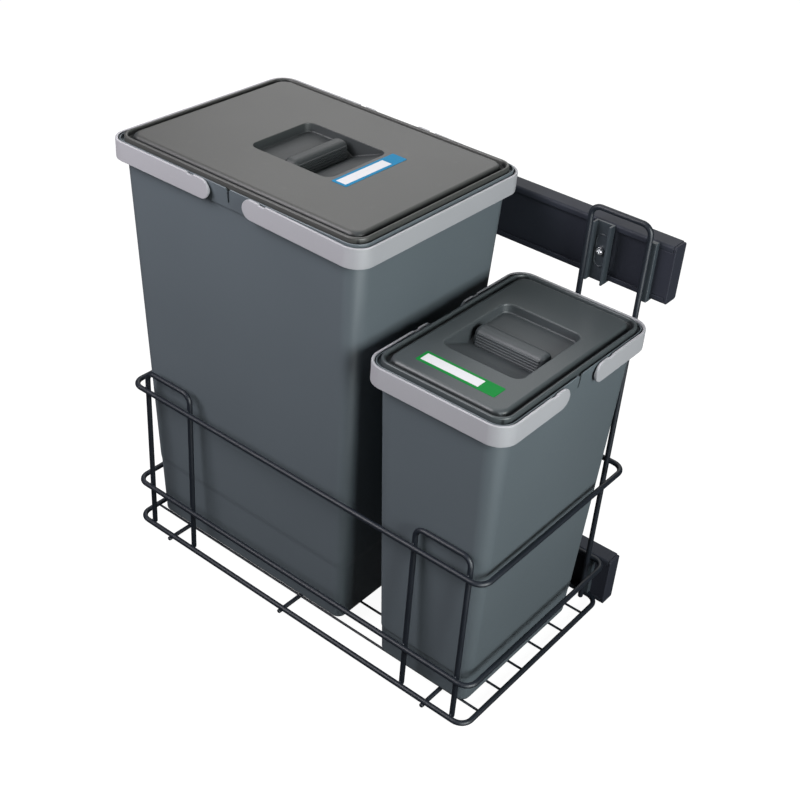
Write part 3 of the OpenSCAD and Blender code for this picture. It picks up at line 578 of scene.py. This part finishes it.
def handleColumns(s):  # stations along the band: place, inward direction, cuts off the low and high edge
    c = handleSet
    along, across = s["long"] / 2, s["wide"] / 2
    if not s["pivotOnX"]:
        along, across = across, along
    r, cap = c["corner"], s["handleTall"] / 2
    straight = along - r - c["endFromMiddle"]
    side = []  # distance from the band's end, cut off the low edge, cut off the high edge
    for a in arcAngles(90, c["endSteps"])[1:]:
        trim = cap * (1 - math.sin(a))
        side.append((cap * (1 - math.cos(a)), trim, trim))
    n = c["pivotOff"] - c["endFromMiddle"]
    half, deep = c["notchLong"] / 2, c["notchDeep"]
    side += [(n - half + d, 0, deep * share) for d, share in c["notchShape"]]
    side += [(n + half - d, 0, deep * share) for d, share in reversed(c["notchShape"])]
    side.append((straight, 0, 0))
    cols = [((across, c["endFromMiddle"] + d), (-1, 0), lo, hi) for d, lo, hi in side]
    for a in arcAngles(90, c["cornerSteps"])[1:]:
        place = (across - r + r * math.cos(a), along - r + r * math.sin(a))
        cols.append((place, (-math.cos(a), -math.sin(a)), 0, 0))
    return cols + [((-x, y), (-nx, ny), lo, hi) for (x, y), (nx, ny), lo, hi in reversed(cols)]


def makeHandle(name, s, node, turn, droop=0.0):
    c = handleSet
    half = s["handleTall"] / 2
    bm = bmesh.new()
    loops = []
    for (x, y), (nx, ny), trimLow, trimHigh in handleColumns(s):
        low, high = -half + trimLow, half - trimHigh
        b = min(c["edge"], (high - low) / 3)
        q, t = c["edgeCut"] * b, c["thick"]
        shape = [(0, low + b), (q, low + q), (b, low), (t - b, low), (t - q, low + q), (t, low + b),
                 (t, high - b), (t - q, high - q), (t - b, high), (b, high), (q, high - q), (0, high - b)]
        loops.append([(x + nx * d, y + ny * d, z) for d, z in shape])
    addLoops(bm, loops, True, True)
    across = (s["wide"] if s["pivotOnX"] else s["long"]) / 2
    for side in (-1, 1):
        addRod(bm, (side * (across - c["thick"] + c["pegStart"]), c["pivotOff"], 0),
               (side * (across - c["pegEnd"]), c["pivotOff"], 0), c["peg"])
    pivot = Matrix.Translation((0, c["pivotOff"], 0))
    hang = pivot @ Matrix.Rotation(math.radians(-droop), 4, "X") @ pivot.inverted()
    spin = Matrix.Rotation(math.radians(turn), 4, "Z")
    place = Matrix.Translation(binMiddle(s) + Vector((0, 0, s["top"] - half))) @ spin @ hang
    obj = linkPiece(name, meshOf(bm, name, c["sharp"], place))
    evenNormals(obj)
    return settle(obj, node, "handle_plastic", node)


makeHandle("bigRearHandle", binSet["big"], "big_rear_handle", 0)
makeHandle("bigFrontHandle", binSet["big"], "big_front_handle", 180, handleSet["frontDroop"])
makeHandle("smallNearHandle", binSet["small"], "small_near_handle", 90)
makeHandle("smallWallHandle", binSet["small"], "small_wall_handle", -90)
print("handles made")


lidSet = {
    "inset": 7.2, "corner": 14.2, "shrink": 0.42, "sheet": 1.7, "panelUp": 3.4, "sharp": 50,
    "rollAngles": (15, 30, 42, 54, 66, 78, 90),
    "recessCorner": 9.0, "leastCorner": 1.5, "cornerSteps": 8, "roundShare": 0.45,
    # the recess's floor runs down from its edge to under the bar's back, then up to the flat at its front
    "rampEdge": 1.5, "rampDeep": 17.5, "rampEnd": -10.0, "flatDeep": 9.0, "flatStart": 9.0,
    # inset from the lid's edge and height over the handles: bead, groove, slope up to the panel
    "section": [(0.9, -3.7), (0.25, -3.5), (0.0, -3.0), (0.0, 1.5), (0.15, 2.15), (0.55, 2.6), (1.1, 2.8),
                (1.6, 2.8), (2.1, 2.6), (2.5, 2.15), (2.7, 1.5), (2.85, 0.4), (3.0, -1.0), (3.3, -1.6),
                (3.7, -1.8), (5.2, -1.8), (6.0, -1.6), (6.7, -1.0)],
    # inset from the recess's edge, drop from the panel and rise from the floor: one of the two counts
    "recessSection": [(-0.7, 0.0, None), (-0.4, 0.05, None), (-0.15, 0.2, None), (0.0, 0.5, None),
                      (0.15, 1.1, None), (0.5, None, 1.4), (0.8, None, 0.75), (1.3, None, 0.25),
                      (2.2, None, 0.0)],
}
lidLooks = {  # the recess's two ends and half width, its edge's softness, the panel's edge, the bar's direction
    "big": {"low": -50.5, "high": 46.0, "halfV": 40.5, "soft": 1.0, "panelWide": 4.2, "barOnX": True},
    "small": {"low": -50.0, "high": 48.0, "halfV": 41.0, "soft": 2.0, "panelWide": 3.9, "barOnX": False},
}
barSet = {  # back foot and front foot: place and height over the recess's floor
    "down": 1.0, "gap": 4.0, "round": 5.2, "roundSteps": 6, "back": (-9.8, 2.6), "front": (9.2, 1.5),
    "topBack": -6.6, "topFront": 8.2, "lean": 3.2,
    "ribCount": 5, "ribPitch": 2.5, "ribRadius": 0.85, "ribStart": 4.6, "ribShort": 9.0, "ribSides": 12,
}


def ribTree():  # rods in a row, half sunk in the grip bar's face
    tree, ids, given, result = startTree("gripRibs", {
        "count": "NodeSocketInt", "pitch": "NodeSocketFloat", "start": "NodeSocketFloat",
        "long": "NodeSocketFloat", "ribRadius": "NodeSocketFloat", "finish": "NodeSocketMaterial"})
    new, link = tree.nodes.new, tree.links.new

    def vector(axis, value, gain):
        joinUp = new("ShaderNodeCombineXYZ")
        scaled = new("ShaderNodeMath")
        scaled.operation = "MULTIPLY"
        scaled.inputs[1].default_value = gain
        link(value, scaled.inputs[0])
        link(scaled.outputs[0], joinUp.inputs[axis])
        return joinUp.outputs[0]

    row = new("GeometryNodeMeshLine")
    link(given.outputs["count"], row.inputs["Count"])
    link(vector(2, given.outputs["start"], -1.0), row.inputs["Start Location"])
    link(vector(2, given.outputs["pitch"], -1.0), row.inputs["Offset"])
    rod = new("GeometryNodeCurvePrimitiveLine")
    link(vector(1, given.outputs["long"], -0.5), rod.inputs["Start"])
    link(vector(1, given.outputs["long"], 0.5), rod.inputs["End"])
    ring = new("GeometryNodeCurvePrimitiveCircle")
    ring.inputs["Resolution"].default_value = barSet["ribSides"]
    link(given.outputs["ribRadius"], ring.inputs["Radius"])
    sweep = new("GeometryNodeCurveToMesh")
    sweep.inputs["Fill Caps"].default_value = True
    link(rod.outputs[0], sweep.inputs["Curve"])
    link(ring.outputs["Curve"], sweep.inputs["Profile Curve"])
    put = new("GeometryNodeInstanceOnPoints")
    link(row.outputs[0], put.inputs["Points"])
    link(sweep.outputs[0], put.inputs["Instance"])
    endTree(tree, put.outputs[0], given, result)
    return tree, ids


ribGroup, ribIds = ribTree()


def makeRibs(name, length, finish):
    b = barSet
    obj = linkPiece(name, bpy.data.meshes.new(name))
    return grow(obj, ribGroup, ribIds, {
        "count": b["ribCount"], "pitch": b["ribPitch"], "start": b["ribStart"], "long": length,
        "ribRadius": b["ribRadius"], "finish": finish})


def recessLoop(look, inset, height):  # two points more on each long side, where the floor bends
    c = lidSet
    r = max(c["recessCorner"] - inset, c["leastCorner"])
    hv = look["halfV"] - inset
    flat = []
    for k, (su, sv) in enumerate(quarters):
        for i in range(c["cornerSteps"] + 1):
            a = math.radians(90 * (k + i / c["cornerSteps"]))
            end = look["high"] - inset - r if su > 0 else look["low"] + inset + r
            flat.append((end + r * math.cos(a), sv * (hv - r) + r * math.sin(a)))
        if k == 0:
            flat += [(c["flatStart"], hv), (c["rampEnd"], hv)]
        if k == 2:
            flat += [(c["rampEnd"], -hv), (c["flatStart"], -hv)]
    return [(u, v, height(u)) for u, v in flat]


def floorDepth(u, lowU):  # how deep the recess is along the lid
    c = lidSet
    if u <= c["rampEnd"]:
        slope = (c["rampDeep"] - c["rampEdge"]) / (c["rampEnd"] - lowU)
        return c["rampEdge"] + slope * (u - lowU)
    if u >= c["flatStart"]:
        return c["flatDeep"]
    share = (u - c["rampEnd"]) / (c["flatStart"] - c["rampEnd"])
    return c["rampDeep"] + (c["flatDeep"] - c["rampDeep"]) * share


def lidSheet(name, s, look, place):  # bead, groove, panel and recess
    c = lidSet
    sizeU, sizeV = s["wide"] / 2 - c["inset"], s["long"] / 2 - c["inset"]
    if look["barOnX"]:
        sizeU, sizeV = sizeV, sizeU
    bm = bmesh.new()
    footIn, footUp = c["section"][-1]
    roll = [(footIn + look["panelWide"] * (1 - math.cos(math.radians(a))),
             footUp + (c["panelUp"] - footUp) * math.sin(math.radians(a))) for a in c["rollAngles"]]
    outer = [roundLoop(sizeU - d, sizeV - d, c["corner"] - c["shrink"] * d, z) for d, z in c["section"] + roll]
    panelRing = addLoops(bm, outer)[-1]

    def level(u, drop, rise):  # near the shallow end the two rounds share what depth there is
        deep = floorDepth(u, look["low"])
        most = c["roundShare"] * deep
        return c["panelUp"] - (min(drop * look["soft"], most) if rise is None else deep - min(rise, most))

    inner = [recessLoop(look, d if rise is not None else d * look["soft"],
                        lambda u, a=drop, b=rise: level(u, a, b))
             for d, drop, rise in c["recessSection"]]
    rings = addLoops(bm, inner)
    panelEdges = [bm.edges.get((ring[i], ring[(i + 1) % len(ring)])) for ring in (panelRing, rings[0])
                  for i in range(len(ring))]
    bmesh.ops.triangle_fill(bm, use_beauty=True, use_dissolve=False, edges=panelEdges, normal=(0, 0, 1))
    floor = rings[-1]
    # points 9, 10 and 29, 30 stand at the bar's two sides
    bm.faces.new(floor[:10] + floor[30:])
    bm.faces.new((floor[9], floor[10], floor[29], floor[30]))
    bm.faces.new(floor[10:30])
    bmesh.ops.recalc_face_normals(bm, faces=bm.faces)
    if sum(f.normal.z * f.calc_area() for f in bm.faces) < 0:
        bmesh.ops.reverse_faces(bm, faces=bm.faces)
    lid = linkPiece(name, meshOf(bm, name, c["sharp"], place, False))
    shell = lid.modifiers.new("sheet", "SOLIDIFY")
    shell.thickness = c["sheet"] * mm
    shell.offset = -1
    shell.use_even_offset = False
    return applied(lid)


def gripBar(name, end, top, place):
    c, b = lidSet, barSet
    shape = [(b["back"][0], -c["rampDeep"] + b["back"][1]), (b["topBack"], top), (b["topFront"], top),
             (b["front"][0], -c["flatDeep"] + b["front"][1])]
    bar = bmesh.new()
    near = [bar.verts.new((u, -end, z)) for u, z in shape]
    far = [bar.verts.new((u, end, z)) for u, z in shape]
    bar.faces.new(near)
    bar.faces.new(list(reversed(far)))
    for i in range(4):
        j = (i + 1) % 4
        bar.faces.new((near[i], far[i], far[j], near[j]))
    soft = [e for e in bar.edges if not all(v.co.z < 0 for v in e.verts)]
    bmesh.ops.bevel(bar, geom=soft, offset=b["round"], segments=b["roundSteps"], profile=0.5, affect="EDGES")
    return evenNormals(linkPiece(name, meshOf(bar, name, c["sharp"], place)))


def makeLid(name, s, node, look):
    c, b = lidSet, barSet
    turn = Matrix.Rotation(math.radians(90), 4, "Z") if look["barOnX"] else Matrix.Identity(4)
    place = Matrix.Translation(binMiddle(s) + Vector((0, 0, s["top"]))) @ turn
    lid = lidSheet(name, s, look, place)
    end, top = look["halfV"] - b["gap"], c["panelUp"] - b["down"]
    grip = gripBar(name + "Grip", end, top, place)
    joined = bmesh.new()
    joined.from_mesh(lid.data)
    joined.from_mesh(grip.data)
    joined.to_mesh(lid.data)
    joined.free()
    bpy.data.objects.remove(grip)
    lid.data.set_sharp_from_angle(angle=math.radians(c["sharp"]))
    evenNormals(lid)
    ribs = makeRibs(name + "Ribs", end * 2 - b["ribShort"], finishes[nodeSlot[node]])
    lean = math.atan2(b["lean"], c["rampDeep"] - b["back"][1] + top)
    face = Matrix.Translation((b["topBack"], 0, top)) @ Matrix.Rotation(lean, 4, "Y")
    ribs.data.transform(Matrix.Diagonal((mm, mm, mm, 1)) @ place @ face)
    settle(ribs, nodeBody[node], nodeSlot[node])
    return settle(lid, nodeBody[node], nodeSlot[node], node)


makeLid("bigLid", binSet["big"], "big_lid", lidLooks["big"])
makeLid("smallLid", binSet["small"], "small_lid", lidLooks["small"])
print("lids made")


def makeLabel(name, node, low, high):
    size, mid = (high - low) / mm, (high + low) / 2 / mm
    hx, hy, hz = size / 2
    c = labelSet
    r, steps, ease = c["corner"], c["cornerSteps"], c["topEase"]
    bm = bmesh.new()
    addLoops(bm, [roundLoop(hx, hy, r, -hz, steps), roundLoop(hx, hy, r, hz * c["easeFrom"], steps),
                  roundLoop(hx - ease, hy - ease, r - ease, hz, steps)], True, True)
    obj = linkPiece(name, meshOf(bm, name, c["sharp"], Matrix.Translation(mid)))
    return settle(obj, nodeBody[node], nodeSlot[node], node)


makeLabel("bigLabel", "big_label", bigLabelLow, bigLabelHigh)
makeLabel("smallLabel", "small_label", smallLabelLow, smallLabelHigh)
print("stickers made")


wireSet = {
    "ringWide": 234.0, "ringLong": 444.0, "ringBend": 12.5, "thick": 5.4, "ringHeights": (0.0, 50.0, 174.0),
    "archPlace": 174.0, "archWide": 61.0, "archBend": 9.5, "legIn": 5.45, "legDown": 2.8,
    "hoopTop": 193.0, "frontBailTop": 430.0, "rearBailTop": 399.0,
    "floorCount": 6, "floorThick": 2.5, "floorPitch": 36.0, "floorHeight": -1.45, "floorShort": 0.05,
    "crossThick": 4.5, "crossHeight": -5.0, "crossPlaces": (-174.0, 11.5, 174.0), "crossOut": 3.0, "crossIn": 1.0,
    "sides": 20,
    # the cut ends: distance from the tip in wire radii, and the wire's share of its full thickness there
    "endShape": ((0.0, 0.55), (0.12, 0.8), (0.32, 0.95), (0.6, 1.0)),
}
beadSet = {"radius": 1.25, "spread": (0.85, 1.15), "fineness": 2, "seed": 5, "lift": 1.5}


def wireTree():  # a round wire along every curve
    tree, ids, given, result = startTree("wireAlongPath", {
        "wireRadius": "NodeSocketFloat", "sides": "NodeSocketInt", "finish": "NodeSocketMaterial"})
    ring = tree.nodes.new("GeometryNodeCurvePrimitiveCircle")
    size = tree.nodes.new("GeometryNodeInputRadius")
    sweep = tree.nodes.new("GeometryNodeCurveToMesh")
    sweep.inputs["Fill Caps"].default_value = True
    tree.links.new(given.outputs["wireRadius"], ring.inputs["Radius"])
    tree.links.new(given.outputs["sides"], ring.inputs["Resolution"])
    tree.links.new(given.outputs["Geometry"], sweep.inputs["Curve"])
    tree.links.new(ring.outputs["Curve"], sweep.inputs["Profile Curve"])
    tree.links.new(size.outputs[0], sweep.inputs["Scale"])
    endTree(tree, sweep.outputs[0], given, result)
    return tree, ids


def beadTree():  # a small weld bead on every point
    tree, ids, given, result = startTree("weldBeads", {
        "beadRadius": "NodeSocketFloat", "seed": "NodeSocketInt", "finish": "NodeSocketMaterial"})
    ball = tree.nodes.new("GeometryNodeMeshIcoSphere")
    ball.inputs["Subdivisions"].default_value = beadSet["fineness"]
    spread = tree.nodes.new("FunctionNodeRandomValue")
    spread.data_type = "FLOAT"
    spread.inputs[2].default_value, spread.inputs[3].default_value = beadSet["spread"]
    put = tree.nodes.new("GeometryNodeInstanceOnPoints")
    tree.links.new(given.outputs["beadRadius"], ball.inputs["Radius"])
    tree.links.new(given.outputs["seed"], spread.inputs["Seed"])
    tree.links.new(given.outputs["Geometry"], put.inputs["Points"])
    tree.links.new(ball.outputs["Mesh"], put.inputs["Instance"])
    tree.links.new(spread.outputs[1], put.inputs["Scale"])
    endTree(tree, put.outputs[0], given, result)
    return tree, ids


wireGroup, wireIds = wireTree()
beadGroup, beadIds = beadTree()


def arcPoints(middle, radius, first, last, axes, steps=8):
    (ax, ay), points = axes, []
    for i in range(steps + 1):
        a = math.radians(first + (last - first) * i / steps)
        points.append(Vector(middle) + Vector(ax) * radius * math.cos(a) + Vector(ay) * radius * math.sin(a))
    return points


def ringPath(s, z):
    hx, hy, r = s["ringWide"] / 2, s["ringLong"] / 2, s["ringBend"]
    axes = ((1, 0, 0), (0, 1, 0))
    points = []
    for k, (sx, sy) in enumerate(quarters):
        points += arcPoints((sx * (hx - r), sy * (hy - r), z), r, 90 * k, 90 * k + 90, axes)
    return points


def archPath(s, x, y, top):
    half, r, foot = s["archWide"] / 2, s["archBend"], -s["legDown"]
    axes = ((0, 1, 0), (0, 0, 1))
    points = [Vector((x, y + half, foot))]
    points += arcPoints((x, y + half - r, top - r), r, 0, 90, axes)
    points += arcPoints((x, y - half + r, top - r), r, 90, 180, axes)
    return points + [Vector((x, y - half, foot))]


def roundedEnds(points, radius):  # extra points that draw the wire's cut ends in
    ends = []
    for tip, other in ((points[0], points[1]), (points[-1], points[-2])):
        way = (other - tip).normalized()
        ends.append([(tip + way * radius * d, share) for d, share in wireSet["endShape"]])
    return ends[0] + [(p, 1.0) for p in points[1:-1]] + list(reversed(ends[1]))


def makeWires(name, node, paths, radius, closed, slotName="wire_coat"):
    curve = bpy.data.curves.new(name, "CURVE")
    curve.dimensions = "3D"
    for path in paths:
        stations = [(p, 1.0) for p in path] if closed else roundedEnds(path, radius)
        spline = curve.splines.new("POLY")
        spline.points.add(len(stations) - 1)
        spline.use_cyclic_u = closed
        for point, (p, size) in zip(spline.points, stations):
            point.co = (*(p * mm + basket), 1.0)
            point.radius = size
    obj = grow(linkPiece(name, curve), wireGroup, wireIds,
               {"wireRadius": radius * mm, "sides": wireSet["sides"], "finish": finishes[slotName]})
    return settle(obj, "frame", slotName, *([node] if node else []))


def floorPlaces(s):  # the floor wires' places across the basket, and where they end along it
    middle = (s["floorCount"] - 1) / 2
    across = [(i - middle) * s["floorPitch"] for i in range(s["floorCount"])]
    return across, s["ringLong"] / 2 - s["thick"] / 2 - s["floorShort"]


def makeBasket(s):
    legX, archY = s["ringWide"] / 2 - s["legIn"], s["archPlace"]
    for word, z in zip(("floor", "middle", "top"), s["ringHeights"]):
        makeWires(word + "Ring", word + "_ring", [ringPath(s, z)], s["thick"] / 2, True)
    for name, node, x, y, top in (
            ("nearFrontHoop", "near_front_hoop", -legX, -archY, s["hoopTop"]),
            ("nearRearHoop", "near_rear_hoop", -legX, archY, s["hoopTop"]),
            ("wallFrontBail", "wall_front_bail", legX, -archY, s["frontBailTop"]),
            ("wallRearBail", "wall_rear_bail", legX, archY, s["rearBailTop"])):
        makeWires(name, node, [archPath(s, x, y, top)], s["thick"] / 2, False)
    across, end = floorPlaces(s)
    makeWires("floorWires", "floor_wires",
              [[Vector((x, y, s["floorHeight"])) for y in (-end, end)] for x in across],
              s["floorThick"] / 2, False)
    reach = (-s["ringWide"] / 2 - s["crossOut"], s["ringWide"] / 2 + s["crossIn"])
    makeWires("crossWires", "cross_wires",
              [[Vector((x, y, s["crossHeight"])) for x in reach] for y in s["crossPlaces"]],
              s["crossThick"] / 2, False)


def makeWelds(s, c):
    spots = []
    face = s["ringWide"] / 2 - s["thick"] / 2
    for side in (-1, 1):
        for y in (-s["archPlace"], s["archPlace"]):
            for leg in (-1, 1):
                for z in s["ringHeights"]:
                    for lift in (-c["lift"], c["lift"]):
                        spots.append((side * face, y + leg * s["archWide"] / 2, z + lift))
    across, floorEnd = floorPlaces(s)
    for x in across:
        for y in s["crossPlaces"]:
            spots.append((x, y, s["crossHeight"] + s["crossThick"] / 2))
        for end in (-1, 1):
            spots.append((x, end * floorEnd, s["floorHeight"]))
    for y in s["crossPlaces"]:
        for side in (-1, 1):
            spots.append((side * s["ringWide"] / 2, y, -s["thick"] / 2))
    mesh = bpy.data.meshes.new("weldBeads")
    mesh.from_pydata([Vector(p) * mm + basket for p in spots], [], [])
    obj = grow(linkPiece("weldBeads", mesh), beadGroup, beadIds,
               {"beadRadius": c["radius"] * mm, "seed": c["seed"], "finish": finishes["wire_coat"]})
    return settle(obj, "frame", "wire_coat")


makeBasket(wireSet)
makeWelds(wireSet, beadSet)

pressingSet = {"screwHead": 2.8, "round": 5.6, "half": {"upper": 16.0, "lower": 14.5}, "bead": 0.75, "steps": 14}


def makePressings(c):  # oval pressed round each clamp screw of the brackets
    front = (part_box("clamp_screws")[0].x - basket.x) / mm + c["screwHead"]
    axes = ((0, 1, 0), (0, 0, 1))
    paths = []
    for level in ("upper", "lower"):
        low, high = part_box(level + "_wall_member")
        z = ((low.z + high.z) / 2 - basket.z) / mm
        reach = c["half"][level] - c["round"]
        for end in ("front", "rear"):
            low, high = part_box(level + "_" + end + "_bracket")
            y = ((low.y + high.y) / 2 - basket.y) / mm
            paths.append(arcPoints((front, y, z + reach), c["round"], 0, 180, axes, c["steps"])
                         + arcPoints((front, y, z - reach), c["round"], 180, 360, axes, c["steps"]))
    return makeWires("bracketPressings", None, paths, c["bead"], True, "bracket_coat")


makePressings(pressingSet)
print("wires made")


# rails, brackets and slides are the solids with their edges eased by these widths
edgeSet = {"upper_carrier": 0.5, "lower_carrier": 0.5,
           "upper_front_cap": 1.4, "upper_rear_cap": 0.9, "lower_front_cap": 1.4, "lower_rear_cap": 0.9,
           "upper_front_bracket": 0.55, "upper_rear_bracket": 0.55, "lower_front_bracket": 0.55,
           "lower_rear_bracket": 0.55, "upper_front_clip": 0.6, "upper_rear_clip": 0.6,
           "lower_front_clip": 0.6, "lower_rear_clip": 0.6, "clamp_plates": 0.3, "clamp_screws": 0.3,
           "upper_wall_member": 0.25, "lower_wall_member": 0.25, "upper_middle_member": 0.25,
           "lower_middle_member": 0.25, "upper_inner_member": 0.25, "lower_inner_member": 0.25}
easeSet = {"merge": 0.004, "flat": 1.0, "sharpBefore": 35, "over": 40, "sharpAfter": 50, "steps": 2}


def easeEdges(node, width):
    c = easeSet
    words = node.split("_")
    name = words[0] + "".join(w.capitalize() for w in words[1:])
    bm = bmesh.new()
    bm.from_mesh(frame["nodes"][node].data)
    bmesh.ops.remove_doubles(bm, verts=bm.verts, dist=c["merge"] * mm)
    bmesh.ops.dissolve_limit(bm, angle_limit=math.radians(c["flat"]), verts=bm.verts, edges=bm.edges)
    mesh = bpy.data.meshes.new(name)
    bm.to_mesh(mesh)
    bm.free()
    shadeSmooth(mesh, c["sharpBefore"])
    obj = linkPiece(name, mesh)
    ease = obj.modifiers.new("ease", "BEVEL")
    ease.width = width * mm
    ease.segments = c["steps"]
    ease.limit_method = "ANGLE"
    ease.angle_limit = math.radians(c["over"])
    ease.use_clamp_overlap = True
    applied(obj)
    shadeSmooth(obj.data, c["sharpAfter"])
    evenNormals(obj)
    return settle(obj, nodeBody[node], nodeSlot[node], node)


for node, width in edgeSet.items():
    easeEdges(node, width)
for node, obj in frame["nodes"].items():  # solids that stay as they are
    if nodeSlot[node] in ("cage_steel", "ball_steel"):
        for slot in obj.material_slots:
            slot.material = finishes[nodeSlot[node]]
print("rails and slides made")


cameraSet = {"place": (-0.96535, -0.6448, 0.7218), "pitch": 34.49, "roll": 4.60, "heading": -53.31,
             "focal": 1296.3, "frame": 800, "sensor": 36}
lightSet = {
    "ambient": 0.04, "aim": (-0.14, 0.0, 0.0),
    "boxes": {  # power, size, place and colour of each soft box
        "leftBox": (17.6, 0.8, (-1.0, 0.5, 0.85), (1.0, 0.965, 1.0)),
        "frontBox": (22.0, 0.65, (-0.45, -1.35, 0.57), (0.95, 1.0, 0.98)),
        "topBox": (11.5, 1.4, (0.0, 0.5, 1.9), (1.0, 1.0, 0.98)),
        "backBox": (18.0, 2.0, (1.5, 0.9, 1.3), (1.0, 1.0, 1.0)),
        "cornerCard": (42.0, 1.4, (-0.70, -1.45, 0.0), (0.97, 1.0, 0.99)),
    },
    "glossOnly": ("cornerCard",),  # a low card that only shows as sheen on the bins' corners
}
floorSet = {"colour": (0.10, 0.10, 0.10, 1), "light": (0.11, 0.11, 0.11, 1), "glow": 0.95,
            "half": 6.0, "below": 0.5, "cloudScale": 2.0, "rough": 0.9}


def makeCamera(c):
    rx, ry, rz = (math.radians(c[k]) for k in ("pitch", "roll", "heading"))
    right = Vector((math.cos(rz), math.sin(rz), 0))
    ahead = Vector((-math.sin(rz), math.cos(rz), 0))
    up = Vector((0, 0, 1))
    look = ahead * math.cos(rx) - up * math.sin(rx)
    rise = ahead * math.sin(rx) + up * math.cos(rx)
    side = right * math.cos(ry) + rise * math.sin(ry)
    top = -right * math.sin(ry) + rise * math.cos(ry)
    data = bpy.data.cameras.new("photoCamera")
    data.sensor_width = c["sensor"]
    data.lens = c["focal"] / c["frame"] * c["sensor"]
    cam = bpy.data.objects.new("photoCamera", data)
    spot = Matrix((side, top, -look)).transposed().to_4x4()
    spot.translation = Vector(c["place"])
    cam.matrix_world = spot
    scene.collection.objects.link(cam)
    scene.camera = cam


def makeLight(name, power, size, place, colour):
    data = bpy.data.lights.new(name, "AREA")
    data.energy = power
    data.size = size
    data.color = colour
    obj = bpy.data.objects.new(name, data)
    turn = (Vector(lightSet["aim"]) - Vector(place)).to_track_quat("-Z", "Y").to_matrix().to_4x4()
    obj.matrix_world = Matrix.Translation(place) @ turn
    obj.visible_camera = False
    obj.visible_diffuse = name not in lightSet["glossOnly"]
    scene.collection.objects.link(obj)


def makeFloor(c):
    bm = bmesh.new()
    bmesh.ops.create_grid(bm, x_segments=2, y_segments=2, size=c["half"])
    mesh = bpy.data.meshes.new("paleFloor")
    bm.to_mesh(mesh)
    bm.free()
    mesh.transform(Matrix.Translation((0, 0, cadBox[0].z - c["below"] * mm)))
    mat, shader, where = startMaterial("paleFloor")
    cloud = where.noise(c["cloudScale"], 2.0)
    where.feed(shader.inputs["Base Color"], cloud.between(c["colour"], c["light"]))
    shader.inputs["Roughness"].default_value = c["rough"]
    shader.inputs["Emission Color"].default_value = (1, 1, 1, 1)
    shader.inputs["Emission Strength"].default_value = c["glow"]
    mesh.materials.append(mat)
    floor = linkPiece("paleFloor", mesh)
    floor.visible_diffuse = False  # the floor's glow stays off the bins
    floor.visible_glossy = False


def makeWorld(ambient):  # white to the camera, dim to everything else
    world = bpy.data.worlds.new("studioWhite")
    world.use_nodes = True
    tree = world.node_tree
    tree.nodes.clear()
    out = tree.nodes.new("ShaderNodeOutputWorld")
    mix = tree.nodes.new("ShaderNodeMixShader")
    ray = tree.nodes.new("ShaderNodeLightPath")
    tree.links.new(ray.outputs["Is Camera Ray"], mix.inputs[0])
    for spot, strength in ((1, ambient), (2, 1.0)):
        sky = tree.nodes.new("ShaderNodeBackground")
        sky.inputs[0].default_value = (1, 1, 1, 1)
        sky.inputs[1].default_value = strength
        tree.links.new(sky.outputs[0], mix.inputs[spot])
    tree.links.new(mix.outputs[0], out.inputs[0])
    scene.world = world


makeCamera(cameraSet)
makeFloor(floorSet)
for name, settings in lightSet["boxes"].items():
    makeLight(name, *settings)
makeWorld(lightSet["ambient"])
scene.view_settings.view_transform = "Standard"
print("camera, floor and light set")
